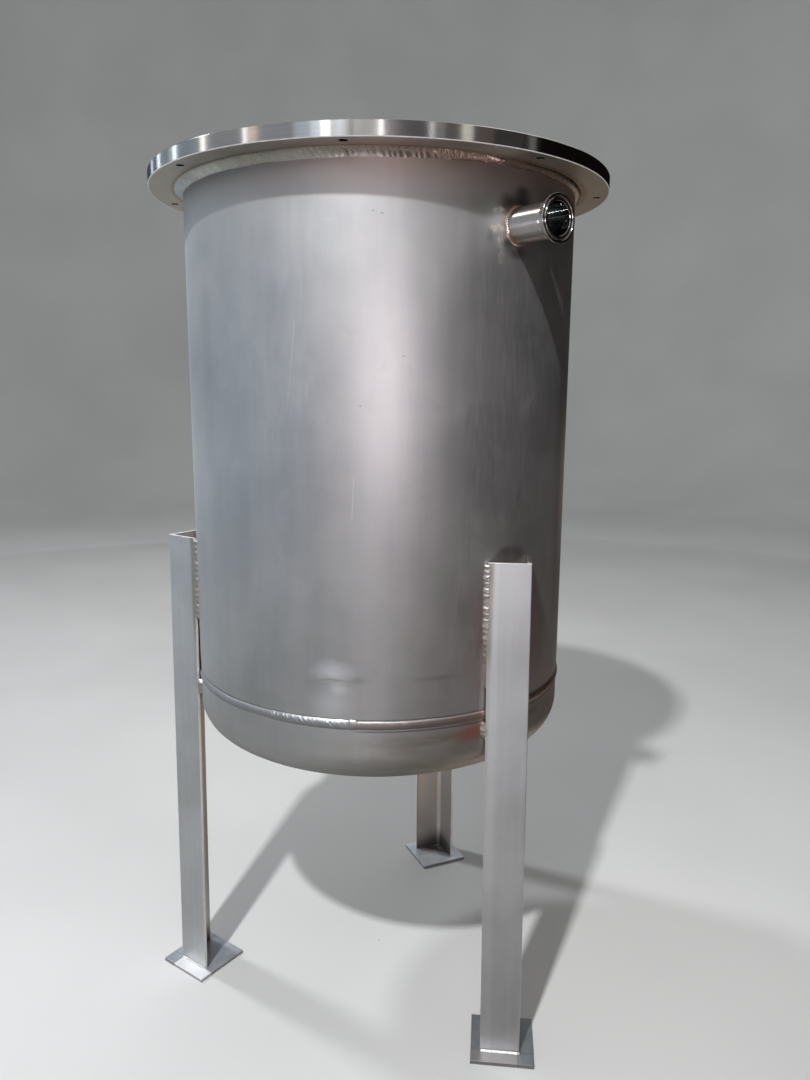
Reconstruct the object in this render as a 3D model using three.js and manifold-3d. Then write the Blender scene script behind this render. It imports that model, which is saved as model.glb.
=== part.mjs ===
// Vertical storage tank in stainless steel: open vessel with a bolted ring flange, a dished bottom,
// one clamp nozzle and three bent angle legs on foot plates. Millimetres, +Z up. The origin is on
// the tank's axis at floor level. The nozzle and leg 1 point to -Y, the other legs stand at 120
// degrees to it.

import * as THREE from "three";
import { mergeVertices } from "three/addons/utils/BufferGeometryUtils.js";
import Module from "manifold-3d";

const wasm = await Module();
wasm.setup();

// Driving dimensions

const CLEARANCE = 0.3; // between pieces that touch
const ROUND_STEPS = 72; // facets of the tank's round pieces

const SHELL_RADIUS = 250; // outside
const SHEET = 4; // shell and bottom

const FLANGE_TOP = 1092; // above the floor
const FLANGE_THICKNESS = 16;
const FLANGE_RADIUS = 291;
const FLANGE_CHAMFER = 1;
const BOLT_COUNT = 8;
const BOLT_CIRCLE_RADIUS = 277.5;
const BOLT_HOLE_RADIUS = 4.5;

const SHELL_TOP_RECESS = 4; // shell edge below the flange's top face
const FLANGE_WELD_OUT = 11; // along the flange's underside
const FLANGE_WELD_DOWN = 8; // along the shell

const GIRTH_HEIGHT = 454.5; // middle of the weld between shell and bottom
const ROOT_GAP = 3; // between the two sheets, filled by the weld
const GIRTH_BEAD = { outerWidth: 11, outerRise: 1.7, innerWidth: 8, innerRise: 1.1 };

const TANGENT_HEIGHT = 419; // where the bottom's straight rim ends
const KNUCKLE_RADIUS = 43; // outside
const CROWN_RADIUS = 570; // outside

const NOZZLE_HEIGHT = 1012;
const TUBE_RADIUS = 19.05;
const TUBE_WALL = 1.65;
const TUBE_START = 243.5; // from the tank's axis, just inside the shell
const TUBE_END = 293;
const FERRULE_FACE = 306.5;
const FERRULE_RADIUS = 25.25;
const FERRULE_RIM = 2.85;
const GROOVE = { inner: 20.4, outer: 23.1, depth: 1.5 };
const NOZZLE_WELD_LEG = 4;

const LEG_ANGLES = [0, 120, -120]; // degrees about the axis, from -Y
const LEG_TOP = 640;
const LEG_WIDTH = 50;
const LEG_SHEET = 4;
const LEG_BEND_OUTER = 6;
const LEG_BEND_INNER = 2;
const LEG_SPLAY = 0.011; // outward shift for each millimetre down
const TOE_WELDS = { upper: [530, 638], lower: [424, 446] }; // heights
const TOE_WELD_ON_LEG = 3.5;
const TOE_WELD_ON_SHELL = 6;
const TOE_WELD_RISE = 1.5;

const PLATE_SIDE = 80;
const PLATE_THICKNESS = 5;
const PLATE_CENTRE_RADIUS = 262.5;
const FOOT_WELD_LEG = 5;

// Materials

const steel = (color, roughness) => new THREE.MeshStandardMaterial({ color, roughness, metalness: 1 });

const MATERIALS = {
  sheet: steel(0x9c9da3, 0.42),
  turned: steel(0xb9b6b2, 0.22),
  polished: steel(0xc4c2be, 0.12),
  angle: steel(0x9d9ea1, 0.5),
  plate: steel(0x84888d, 0.5),
  weld: steel(0xa79d97, 0.35),
};

// Shape helpers

const TURN = Math.PI * 2;
const radians = (degrees) => (degrees * Math.PI) / 180;

// Points of an arc in a profile, from one angle to another, both in degrees.
function arc(x, y, radius, from, to, steps) {
  return Array.from({ length: steps + 1 }, (_, i) => {
    const angle = radians(from + ((to - from) * i) / steps);
    return [x + radius * Math.cos(angle), y + radius * Math.sin(angle)];
  });
}

// Points of a shallow bead cap between two points of a profile, raised to the left of the way.
function cap([x0, y0], [x1, y1], rise, steps = 5) {
  const length = Math.hypot(x1 - x0, y1 - y0);
  const side = [-(y1 - y0) / length, (x1 - x0) / length];
  return Array.from({ length: steps + 1 }, (_, i) => {
    const along = i / steps;
    const lift = rise * 4 * along * (1 - along);
    return [x0 + (x1 - x0) * along + side[0] * lift, y0 + (y1 - y0) * along + side[1] * lift];
  });
}

// Six times the volume inside a closed mesh, positive when its faces point outwards.
function signedVolume(geometry) {
  const { index } = geometry;
  const position = geometry.getAttribute("position");
  const corner = [new THREE.Vector3(), new THREE.Vector3(), new THREE.Vector3()];
  let sum = 0;
  for (let i = 0; i < index.count; i += 3) {
    corner.forEach((point, k) => point.fromBufferAttribute(position, index.getX(i + k)));
    sum += corner[0].dot(corner[1].cross(corner[2]));
  }
  return sum;
}

// The same mesh with shared corners and its faces pointing outwards.
function closed(geometry) {
  geometry.deleteAttribute("normal");
  geometry.deleteAttribute("uv");
  const merged = mergeVertices(geometry, 1e-3);
  if (signedVolume(merged) < 0) merged.setIndex([...merged.index.array].reverse());
  return merged;
}

// A profile of [radius, height] points turned about the Z axis.
function turned(profile, steps = ROUND_STEPS) {
  const points = profile.map(([radius, height]) => new THREE.Vector2(radius, height));
  if (profile[0][0] > 0) points.push(points[0].clone());
  return closed(new THREE.LatheGeometry(points, steps).rotateX(Math.PI / 2));
}

// A solid through sections of equal point counts, joined end to start when it is a loop. Otherwise
// each end is closed by a fan from its section's first point.
function swept(sections, isLoop = false) {
  const size = sections[0].length;
  const index = [];
  const spans = isLoop ? sections.length : sections.length - 1;
  for (let s = 0; s < spans; s++) {
    const here = s * size;
    const next = ((s + 1) % sections.length) * size;
    for (let i = 0; i < size; i++) {
      const j = (i + 1) % size;
      index.push(here + i, here + j, next + j, here + i, next + j, next + i);
    }
  }
  if (!isLoop) {
    const last = (sections.length - 1) * size;
    for (let i = 1; i < size - 1; i++) index.push(0, i + 1, i, last, last + i, last + i + 1);
  }
  const geometry = new THREE.BufferGeometry();
  geometry.setAttribute("position", new THREE.Float32BufferAttribute(sections.flat(2), 3));
  return closed(geometry.setIndex(index));
}

function toSolid(geometry) {
  const vertProperties = geometry.getAttribute("position").array;
  const triVerts = new Uint32Array(geometry.index.array);
  return new wasm.Manifold(new wasm.Mesh({ numProp: 3, vertProperties, triVerts }));
}

// One geometry with others cut out of it.
function cutOut(geometry, tools) {
  const body = tools.reduce((left, tool) => left.subtract(toSolid(tool)), toSolid(geometry));
  const mesh = body.getMesh();
  const result = new THREE.BufferGeometry();
  result.setAttribute("position", new THREE.BufferAttribute(mesh.vertProperties, 3));
  return result.setIndex(new THREE.BufferAttribute(mesh.triVerts, 1));
}

// A straight round pin along Z, used to cut holes.
function pin(radius, low, high, steps) {
  return turned([[0, low], [radius, low], [radius, high], [0, high]], steps);
}

function piece(name, geometry, material) {
  const mesh = new THREE.Mesh(geometry, material);
  mesh.name = name;
  return mesh;
}

// Vessel

const flangeBottom = FLANGE_TOP - FLANGE_THICKNESS;
const shellInner = SHELL_RADIUS - SHEET;
const shellTop = FLANGE_TOP - SHELL_TOP_RECESS;
const shellBottom = GIRTH_HEIGHT + ROOT_GAP / 2;
const dishTop = GIRTH_HEIGHT - ROOT_GAP / 2;
const onShell = SHELL_RADIUS + CLEARANCE;

function shellWall() {
  const tube = turned([
    [shellInner, shellBottom],
    [SHELL_RADIUS, shellBottom],
    [SHELL_RADIUS, shellTop],
    [shellInner, shellTop],
  ]);
  const hole = pin(TUBE_RADIUS + CLEARANCE, shellInner - SHEET * 2, SHELL_RADIUS + SHEET, 32);
  hole.rotateX(Math.PI / 2).translate(0, 0, NOZZLE_HEIGHT);
  return piece("shell_wall", cutOut(tube, [hole]), MATERIALS.sheet);
}

function flangeRing() {
  const ring = turned([
    [onShell, flangeBottom],
    [FLANGE_RADIUS - FLANGE_CHAMFER, flangeBottom],
    [FLANGE_RADIUS, flangeBottom + FLANGE_CHAMFER],
    [FLANGE_RADIUS, FLANGE_TOP - FLANGE_CHAMFER],
    [FLANGE_RADIUS - FLANGE_CHAMFER, FLANGE_TOP],
    [onShell, FLANGE_TOP],
  ]);
  const holes = Array.from({ length: BOLT_COUNT }, (_, i) => {
    const hole = pin(BOLT_HOLE_RADIUS, flangeBottom - 1, FLANGE_TOP + 1, 16);
    return hole.translate(0, -BOLT_CIRCLE_RADIUS, 0).rotateZ((TURN * i) / BOLT_COUNT);
  });
  return piece("flange_ring", cutOut(ring, holes), MATERIALS.turned);
}

// Fillet under the flange, all the way round the shell.
function flangeWeld() {
  const under = flangeBottom - CLEARANCE;
  const low = [onShell, flangeBottom - FLANGE_WELD_DOWN];
  const face = cap(low, [SHELL_RADIUS + FLANGE_WELD_OUT, under], -1.2, 4);
  return piece("flange_weld", turned([[onShell, under], ...face]), MATERIALS.weld);
}

// Small weld on the shell's top edge, inside the flange's bore.
function sealWeld() {
  const onEdge = shellTop + CLEARANCE;
  const face = cap([shellInner, onEdge], [SHELL_RADIUS, FLANGE_TOP - CLEARANCE], 0.6, 3);
  return piece("seal_weld", turned([[SHELL_RADIUS, onEdge], ...face]), MATERIALS.weld);
}

// Butt weld between shell and bottom: a bead outside, a smaller one inside, joined by the root.
function girthWeld() {
  const inside = shellInner - CLEARANCE;
  const low = dishTop + CLEARANCE;
  const high = shellBottom - CLEARANCE;
  const { outerWidth, outerRise, innerWidth, innerRise } = GIRTH_BEAD;
  const outer = [GIRTH_HEIGHT - outerWidth / 2, GIRTH_HEIGHT + outerWidth / 2];
  const inner = [GIRTH_HEIGHT - innerWidth / 2, GIRTH_HEIGHT + innerWidth / 2];
  return piece("girth_weld", turned([
    ...cap([onShell, outer[0]], [onShell, outer[1]], -outerRise, 5),
    [onShell, high], [inside, high],
    ...cap([inside, inner[1]], [inside, inner[0]], -innerRise, 4),
    [inside, low], [onShell, low],
  ]), MATERIALS.weld);
}

// One side of the dished end's section, from the axis to the top of its straight rim.
function dishSide(offset) {
  const knuckleX = SHELL_RADIUS - KNUCKLE_RADIUS;
  const reach = CROWN_RADIUS - KNUCKLE_RADIUS;
  const crownZ = TANGENT_HEIGHT + Math.sqrt(reach ** 2 - knuckleX ** 2);
  const edge = (Math.asin(knuckleX / reach) * 180) / Math.PI;
  return [
    [0, crownZ - CROWN_RADIUS + offset],
    ...arc(0, crownZ, CROWN_RADIUS - offset, -90, -90 + edge, 6).slice(1),
    ...arc(knuckleX, TANGENT_HEIGHT, KNUCKLE_RADIUS - offset, -90 + edge, 0, 5).slice(1),
    [SHELL_RADIUS - offset, dishTop],
  ];
}

function bottomDish() {
  return piece("bottom_dish", turned([...dishSide(0), ...dishSide(SHEET).reverse()]), MATERIALS.sheet);
}

// Nozzle, made along +Z from the tank's axis and then turned to point to -Y

const tubeBore = TUBE_RADIUS - TUBE_WALL;

function nozzleTube() {
  return piece("nozzle_tube", turned([
    [tubeBore, TUBE_START], [TUBE_RADIUS, TUBE_START], [TUBE_RADIUS, TUBE_END], [tubeBore, TUBE_END],
  ], 32), MATERIALS.polished);
}

function nozzleFerrule() {
  const start = TUBE_END + CLEARANCE;
  const rimBack = FERRULE_FACE - FERRULE_RIM;
  const bevel = (FERRULE_RADIUS - TUBE_RADIUS) * Math.tan(radians(20));
  return piece("nozzle_ferrule", turned([
    [tubeBore, start],
    [TUBE_RADIUS, start],
    [TUBE_RADIUS, rimBack - bevel - 1.5],
    [TUBE_RADIUS + 1.5, rimBack - bevel + 0.5],
    [FERRULE_RADIUS, rimBack],
    [FERRULE_RADIUS, FERRULE_FACE],
    [GROOVE.outer, FERRULE_FACE],
    [GROOVE.outer - 0.7, FERRULE_FACE - GROOVE.depth],
    [GROOVE.inner + 0.7, FERRULE_FACE - GROOVE.depth],
    [GROOVE.inner, FERRULE_FACE],
    [tubeBore, FERRULE_FACE],
  ], 32), MATERIALS.polished);
}

function nozzle() {
  const group = new THREE.Group();
  group.add(nozzleTube(), nozzleFerrule());
  group.rotation.x = Math.PI / 2;
  group.position.z = NOZZLE_HEIGHT;
  return group;
}

// Fillet that follows the saddle line where the tube meets the round shell.
function nozzleWeld() {
  const near = TUBE_RADIUS + CLEARANCE;
  const far = near + NOZZLE_WELD_LEG;
  const sections = Array.from({ length: 32 }, (_, i) => {
    const angle = (TURN * i) / 32;
    const at = (radius, out) => {
      const x = radius * Math.cos(angle);
      return [x, -Math.sqrt(onShell ** 2 - x ** 2) - out, NOZZLE_HEIGHT + radius * Math.sin(angle)];
    };
    const middle = NOZZLE_WELD_LEG * 0.62;
    return [at(near, 0.2), at(near, NOZZLE_WELD_LEG), at(near + middle, middle), at(far, 0.2)];
  });
  return piece("nozzle_weld", swept(sections, true), MATERIALS.weld);
}

// Legs, each made at -Y in a group that is turned about the axis

const SLANT = Math.SQRT1_2; // each leg's sheets run at 45 degrees to the radius

// Heel radius at a height, so that the toes just clear the shell at the top.
function heelRadius(height) {
  const toeAside = (LEG_WIDTH - LEG_SHEET) * SLANT;
  const toeOut = Math.sqrt((onShell + 0.2) ** 2 - toeAside ** 2);
  return toeOut + (LEG_WIDTH + LEG_SHEET) * SLANT + LEG_SPLAY * (LEG_TOP - height);
}

// A place in the leg's section, u and v along its two sheets from the heel, at a height.
function onLeg(u, v, height) {
  return [(u - v) * SLANT, (u + v) * SLANT - heelRadius(height), height];
}

// The leg's outer bend, offset outwards, from the first sheet to the second.
function outerBend(offset) {
  return arc(LEG_BEND_OUTER, LEG_BEND_OUTER, LEG_BEND_OUTER + offset, -90, -180, 5);
}

function leg(name) {
  const inner = LEG_SHEET + LEG_BEND_INNER;
  const outline = [
    [LEG_WIDTH, 0], [LEG_WIDTH, LEG_SHEET],
    ...arc(inner, inner, LEG_BEND_INNER, -90, -180, 3),
    [LEG_SHEET, LEG_WIDTH], [0, LEG_WIDTH],
    ...outerBend(0).reverse(),
  ];
  const low = PLATE_THICKNESS + CLEARANCE;
  const shape = new THREE.Shape(outline.map(([u, v]) => new THREE.Vector2(u, v)));
  const prism = new THREE.ExtrudeGeometry(shape, { depth: LEG_TOP - low, bevelEnabled: false });
  const geometry = closed(prism);
  const position = geometry.getAttribute("position");
  for (let i = 0; i < position.count; i++) {
    const height = low + position.getZ(i);
    position.setXYZ(i, ...onLeg(position.getX(i), position.getY(i), height));
  }
  return piece(name, geometry, MATERIALS.angle);
}

function footPlate(name) {
  const mesh = piece(name, new THREE.BoxGeometry(PLATE_SIDE, PLATE_SIDE, PLATE_THICKNESS), MATERIALS.plate);
  mesh.rotation.z = Math.PI / 4;
  mesh.position.set(0, -PLATE_CENTRE_RADIUS, PLATE_THICKNESS / 2);
  return mesh;
}

// Fillet round the outside of the leg, on its plate.
function footWeld(name) {
  const low = PLATE_THICKNESS + CLEARANCE;
  const out = FOOT_WELD_LEG;
  const near = [[LEG_WIDTH - 1, -CLEARANCE], ...outerBend(CLEARANCE), [-CLEARANCE, LEG_WIDTH - 1]];
  const far = [[LEG_WIDTH - 1, -out], ...outerBend(out), [-out, LEG_WIDTH - 1]];
  const sections = near.map(([u, v], i) => {
    const [farU, farV] = far[i];
    return [
      onLeg(u, v, low),
      onLeg(farU, farV, low),
      onLeg((u + 2 * farU) / 3, (v + 2 * farV) / 3, low + out / 2),
      onLeg(u, v, low + out),
    ];
  });
  return piece(name, swept(sections), MATERIALS.weld);
}

// Weld in the groove between the end of one sheet and the shell, between two heights. The side is
// 1 for the sheet towards +X and -1 for the other.
function toeWeld(name, side, heights) {
  const sections = heights.map((height) => {
    const onSheet = (u, v) => (side > 0 ? onLeg(u, v, height) : onLeg(v, u, height));
    const groove = onSheet(LEG_WIDTH + CLEARANCE, LEG_SHEET * 0.6);
    const onWall = (angle) => [onShell * Math.sin(angle), -onShell * Math.cos(angle), height];
    const root = Math.atan2(groove[0], -groove[1]);
    const foot = root + (side * TOE_WELD_ON_SHELL) / SHELL_RADIUS;
    const start = onSheet(LEG_WIDTH - TOE_WELD_ON_LEG, -CLEARANCE);
    const end = onWall(foot);
    const middle = [(start[0] + end[0]) / 2, (start[1] + end[1]) / 2];
    const raised = 1 + TOE_WELD_RISE / Math.hypot(...middle);
    const crown = [middle[0] * raised, middle[1] * raised, height];
    return [onSheet(LEG_WIDTH + CLEARANCE, -CLEARANCE), groove, onWall(root), end, crown, start];
  });
  return piece(name, swept(sections), MATERIALS.weld);
}

function legWithFoot(number, degrees) {
  const group = new THREE.Group();
  group.add(leg(`leg_${number}`), footPlate(`foot_plate_${number}`), footWeld(`foot_weld_${number}`));
  for (const [place, heights] of Object.entries(TOE_WELDS)) {
    group.add(toeWeld(`leg_${number}_weld_right_${place}`, 1, heights));
    group.add(toeWeld(`leg_${number}_weld_left_${place}`, -1, heights));
  }
  group.rotation.z = radians(degrees);
  return group;
}

const tank = new THREE.Group();
tank.add(flangeRing(), flangeWeld(), sealWeld(), shellWall(), girthWeld(), bottomDish());
tank.add(nozzle(), nozzleWeld());
LEG_ANGLES.forEach((degrees, i) => tank.add(legWithFoot(i + 1, degrees)));

export default tank;
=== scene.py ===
# Vertical storage tank in stainless steel: smooth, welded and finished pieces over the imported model.
# Metres, +Z up, with the origin on the tank's axis at floor level. The nozzle and leg 1 point to -Y.
import math

import bmesh
import bpy
import numpy as np
from mathutils import Matrix, Vector


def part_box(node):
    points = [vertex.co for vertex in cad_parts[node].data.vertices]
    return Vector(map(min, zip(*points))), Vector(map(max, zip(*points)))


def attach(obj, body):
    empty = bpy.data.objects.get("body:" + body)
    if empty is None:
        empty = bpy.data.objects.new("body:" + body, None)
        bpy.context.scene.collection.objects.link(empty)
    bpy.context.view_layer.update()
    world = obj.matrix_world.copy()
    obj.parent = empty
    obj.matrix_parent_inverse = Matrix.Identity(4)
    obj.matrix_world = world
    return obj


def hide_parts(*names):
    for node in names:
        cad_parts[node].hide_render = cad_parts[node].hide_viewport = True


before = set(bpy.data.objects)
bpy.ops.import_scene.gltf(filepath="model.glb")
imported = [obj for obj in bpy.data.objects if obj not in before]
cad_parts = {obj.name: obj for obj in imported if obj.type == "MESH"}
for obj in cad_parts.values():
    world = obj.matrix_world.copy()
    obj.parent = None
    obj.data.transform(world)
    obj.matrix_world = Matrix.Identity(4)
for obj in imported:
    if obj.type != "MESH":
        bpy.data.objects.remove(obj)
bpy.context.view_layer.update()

MM = 0.001

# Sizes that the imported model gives

shell_low, shell_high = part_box("shell_wall")
SHELL_RADIUS = shell_high.x
SHELL_BOTTOM = shell_low.z
SHELL_TOP = shell_high.z
flange_low, flange_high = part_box("flange_ring")
FLANGE_RADIUS = flange_high.x
FLANGE_BOTTOM = flange_low.z
FLANGE_TOP = flange_high.z
DISH_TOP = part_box("bottom_dish")[1].z
tube_low, tube_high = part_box("nozzle_tube")
TUBE_RADIUS = tube_high.x
TUBE_START = -tube_high.y
TUBE_END = -tube_low.y
NOZZLE_HEIGHT = (tube_low.z + tube_high.z) / 2
ferrule_low, ferrule_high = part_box("nozzle_ferrule")
FERRULE_RADIUS = ferrule_high.x
FERRULE_FACE = -ferrule_low.y
LEG_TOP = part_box("leg_1")[1].z
plate_low, plate_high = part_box("foot_plate_1")
PLATE_TOP = plate_high.z
PLATE_SIDE = plate_high.x * math.sqrt(2)
PLATE_CENTRE = -(plate_low.y + plate_high.y) / 2

# Sizes that go with them

SHEET = 4 * MM
SHELL_INNER = SHELL_RADIUS - SHEET
KNUCKLE_RADIUS = 43 * MM
CROWN_RADIUS = 570 * MM
TANGENT_HEIGHT = 419 * MM
TUBE_BORE = TUBE_RADIUS - 1.65 * MM
BOLT_COUNT = 8
BOLT_CIRCLE = 277.5 * MM
BOLT_HOLE = 4.5 * MM
LEG_WIDTH = 50 * MM
LEG_SHEET = 4 * MM
LEG_SPLAY = 0.011
LEG_ANGLES = {1: 0, 2: 120, 3: -120}
GIRTH_HEIGHT = (SHELL_BOTTOM + DISH_TOP) / 2
EMBED = 0.25 * MM  # how deep a bead's root sits in the metal under it

# The photograph's camera

CAMERA_AZIMUTH = -37.4  # from -Y towards +X, in degrees
CAMERA_DISTANCE = 1.15875
CAMERA_HEIGHT = 0.840
CAMERA_PITCH = 10.47  # downwards
CAMERA_YAW = 1.75
CAMERA_ROLL = 0.42
CAMERA_LENS = 27.967
SENSOR = 36.0


def from_camera(azimuth):
    """An azimuth counted from the camera's side of the tank, as one counted from -Y."""
    return azimuth + CAMERA_AZIMUTH


def at(turn, radius, height=0.0):
    """The point at an azimuth in radians, a distance from the axis and a height."""
    return radius * math.sin(turn), -radius * math.cos(turn), height


def around(azimuth, radius, height=0.0):
    return Vector(at(math.radians(azimuth), radius, height))


def seen(azimuth):
    """An azimuth from the camera's side, as radians from -Y."""
    return math.radians(from_camera(azimuth))


def linked(name, data):
    """A new object in the scene."""
    made = bpy.data.objects.new(name, data)
    bpy.context.scene.collection.objects.link(made)
    return made


def add_camera():
    pitch, yaw, roll = (math.radians(a) for a in (CAMERA_PITCH, CAMERA_YAW, CAMERA_ROLL))
    forward = Vector((math.sin(yaw) * math.cos(pitch), math.cos(yaw) * math.cos(pitch), -math.sin(pitch)))
    level_right = Vector((math.cos(yaw), -math.sin(yaw), 0.0))
    level_up = level_right.cross(forward)
    right = math.cos(roll) * level_right + math.sin(roll) * level_up
    up = -math.sin(roll) * level_right + math.cos(roll) * level_up
    axes = Matrix((right, up, -forward)).transposed()
    turn = Matrix.Rotation(math.radians(CAMERA_AZIMUTH), 3, "Z")
    data = bpy.data.cameras.new("photo_camera")
    data.sensor_width = SENSOR
    data.lens = CAMERA_LENS
    camera = linked("photo_camera", data)
    place = around(CAMERA_AZIMUTH, CAMERA_DISTANCE, CAMERA_HEIGHT)
    camera.matrix_world = Matrix.Translation(place) @ (turn @ axes).to_4x4()
    bpy.context.scene.camera = camera


# Materials

class Number:
    """A number that a material works out at each place, so that sums of them read as sums."""

    def __init__(self, graph, socket):
        self.graph = graph
        self.socket = socket

    def math(self, operation, other=0.0):
        return self.graph.number("Math", {0: self, 1: other}, operation=operation)

    def __add__(self, other):
        return self.math("ADD", other)

    def __sub__(self, other):
        return self.math("SUBTRACT", other)

    def __mul__(self, other):
        return self.math("MULTIPLY", other)

    def size(self):
        return self.math("ABSOLUTE")

    def root(self):
        return self.math("SQRT")

    def ramp(self, start, end, low=0.0, high=1.0, kind="SMOOTHSTEP"):
        sockets = {"Value": self, "From Min": start, "From Max": end, "To Min": low, "To Max": high}
        return self.graph.number("MapRange", sockets, interpolation_type=kind)

    def band(self, centre, half, fade):
        """One inside a band of the number and nothing outside it."""
        return (self - centre).size().ramp(half, half + fade, 1.0, 0.0)


class Graph:
    """A material's nodes, with one short call for each."""

    def __init__(self, name, shader="BsdfPrincipled", **sockets):
        self.material = bpy.data.materials.new(name)
        self.material.use_nodes = True
        self.tree = self.material.node_tree
        self.tree.nodes.clear()
        self.shader = self.add(shader)
        self.add("OutputMaterial", {"Surface": self.shader.outputs[0]})
        self.use(**sockets)
        self.place = self.add("TexCoord").outputs["Object"]
        axes = self.add("SeparateXYZ", {0: self.place}).outputs
        self.x, self.y, self.z = (Number(self, axis) for axis in axes)

    def add(self, kind, sockets=None, **settings):
        made = self.tree.nodes.new("ShaderNode" + kind)
        for key, value in settings.items():
            setattr(made, key, value)
        for key, value in (sockets or {}).items():
            self.feed(made.inputs[key], value)
        return made

    def feed(self, socket, value):
        """Links a node's result to a socket, or sets the socket to a plain value."""
        if isinstance(value, Number):
            value = value.socket
        if isinstance(value, bpy.types.NodeSocket):
            self.tree.links.new(value, socket)
        else:
            socket.default_value = (*value, 1.0) if socket.type == "RGBA" else value

    def use(self, **sockets):
        """Feeds the shader's sockets, and gives the material."""
        for key, value in sockets.items():
            self.feed(self.shader.inputs[key.replace("_", " ")], value)
        return self.material

    def number(self, kind, sockets, **settings):
        return Number(self, self.add(kind, sockets, **settings).outputs[0])

    def noise(self, scale, stretch=None, detail=3.0, roughness=0.5, distortion=0.0, place=None):
        """Noise that runs along the axis with the smallest stretch."""
        place = place or self.place
        if stretch:
            place = self.add("Mapping", {"Vector": place, "Scale": stretch}).outputs[0]
        sockets = {"Vector": place, "Scale": scale, "Detail": detail}
        sockets.update({"Roughness": roughness, "Distortion": distortion})
        return self.number("TexNoise", sockets)

    def rings(self, scale, roughness):
        """Noise in rings round the tank's axis."""
        place = self.add("CombineXYZ", {0: self.radius(), 2: self.z}).outputs[0]
        return self.noise(scale, detail=2.0, roughness=roughness, place=place)

    def mix(self, share, first, second):
        return self.add("Mix", {0: share, 6: first, 7: second}, data_type="RGBA").outputs[2]

    def tint(self, colour, mask, share, tint):
        """A colour with a share of a tint where the mask is one."""
        return self.mix(mask * share, colour, tint)

    def radius(self):
        return (self.x * self.x + self.y * self.y).root()

    def azimuth(self):
        """In radians, from -Y towards +X."""
        return self.x.math("ARCTAN2", self.y * -1.0)

    def turned(self, azimuth):
        """The place across the line from an azimuth to the axis, and along it, growing inwards."""
        across, along = math.cos(math.radians(azimuth)), math.sin(math.radians(azimuth))
        return self.x * across + self.y * along, self.y * across - self.x * along

    def tangent(self, axis):
        """The direction round an axis, in which or across which a sheen spreads."""
        return self.add("Tangent", direction_type="RADIAL", axis=axis).outputs[0]

    def bump(self, height, distance, **below):
        return self.add("Bump", {"Height": height, "Distance": distance, "Strength": 1.0, **below}).outputs[0]


def grey(value, warmth=0.0):
    """A colour of a brightness, warmer or, below nothing, cooler."""
    return (value * (1 + warmth), value, value * (1 - warmth))


STRAW = (0.62, 0.50, 0.33)
ROSE = (0.60, 0.42, 0.36)
# Dark colour for soot, and also for painted shade in creases, hollows and along edges
SOOT = (0.10, 0.095, 0.09)
BEHIND = math.radians(90), math.radians(170)  # where a tint of the right-hand side ends


def sheet_material():
    """Rolled satin sheet: fine grain along the height, soft clouds, faint scratches, tint near welds, painted
    shade and highlights.
    """
    g = Graph("satin_sheet", Metallic=1.0, Anisotropic=0.3)
    grain = g.noise(900.0, (1.0, 1.0, 0.035), 3.0, 0.6)
    bands = g.noise(38.0, (1.0, 1.0, 0.05), 4.0, 0.55)
    clouds = g.noise(9.0, detail=4.0, roughness=0.55)
    smudges = g.noise(23.0, detail=5.0, roughness=0.65, distortion=0.6).ramp(0.55, 0.75)
    colour = g.mix(clouds.ramp(0.3, 0.7), grey(0.50, -0.015), grey(0.57))
    colour = g.mix(bands.ramp(0.35, 0.7, 0.0, 0.35), colour, grey(0.62, 0.01))
    colour = g.tint(colour, smudges, 0.25, grey(0.42, 0.02))
    where = g.azimuth(), g.z
    # Some of these marks paint shade and highlights as well as tint
    for marks in (flange_heat, handling_marks, dish_stain, weld_marks, leg_smudges, nozzle_marks):
        colour = marks(g, where, colour)
    rough = clouds.ramp(0.3, 0.75, 0.45, 0.49) + grain.ramp(0.3, 0.7, -0.03, 0.03) + smudges * 0.05
    normal = g.bump(g.noise(14.0, detail=2.0), 0.35 * MM, Normal=g.bump(grain, 0.02 * MM))
    return g.use(Base_Color=colour, Roughness=rough, Normal=normal, Tangent=g.tangent("Z"))


def rightwards(turn, start, end):
    """From 0 to 1 between two azimuths from the camera's side, and back to 0 behind the tank."""
    return turn.ramp(seen(start), seen(end)) * turn.ramp(*BEHIND, 1.0, 0.0)


def patch(where, azimuth, middle, wide, tall, core=0.55):
    """A soft oval on the shell, one in its core. The azimuth counts from -Y, and the rest are lengths."""
    turn, height = where
    aside = (turn - math.radians(azimuth)) * (SHELL_RADIUS / wide)
    up = (height - middle) * (1 / tall)
    return (aside * aside + up * up).root().ramp(core, 1.0, 1.0, 0.0)


def ragged(g, where, scale, size):
    """A place on the shell moved about a little, so that what is drawn there gets uneven edges."""
    turn, height = where
    drift = (g.noise(scale, detail=4.0, roughness=0.6) - 0.5) * size
    return turn + drift * (1 / SHELL_RADIUS), height + drift


def scratch(where, start, end):
    """A fine upright line between two places, each an azimuth from the camera's side and a height."""
    turn, height = where
    line = height.ramp(end[1], start[1], seen(end[0]), seen(start[0]), "LINEAR")
    beside = turn.band(line, 0.3 * MM / SHELL_RADIUS, 0.5 * MM / SHELL_RADIUS)
    middle, half = (start[1] + end[1]) / 2, (start[1] - end[1]) / 2
    return beside * height.band(middle, half * 0.7, half * 0.3)


def flange_heat(g, where, colour):
    """Heat tint and painted shade close under the flange, olive on the camera's left and rosy on its right.
    """
    turn, height = where
    across = rightwards(turn, -40, 0)
    tone = g.mix(across, (0.33, 0.31, 0.28), (0.55, 0.39, 0.34))
    near = height.ramp(FLANGE_BOTTOM - 62 * MM, FLANGE_BOTTOM - 8 * MM)
    return g.tint(colour, near, across.ramp(0.0, 1.0, 0.80, 0.55), tone)


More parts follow.
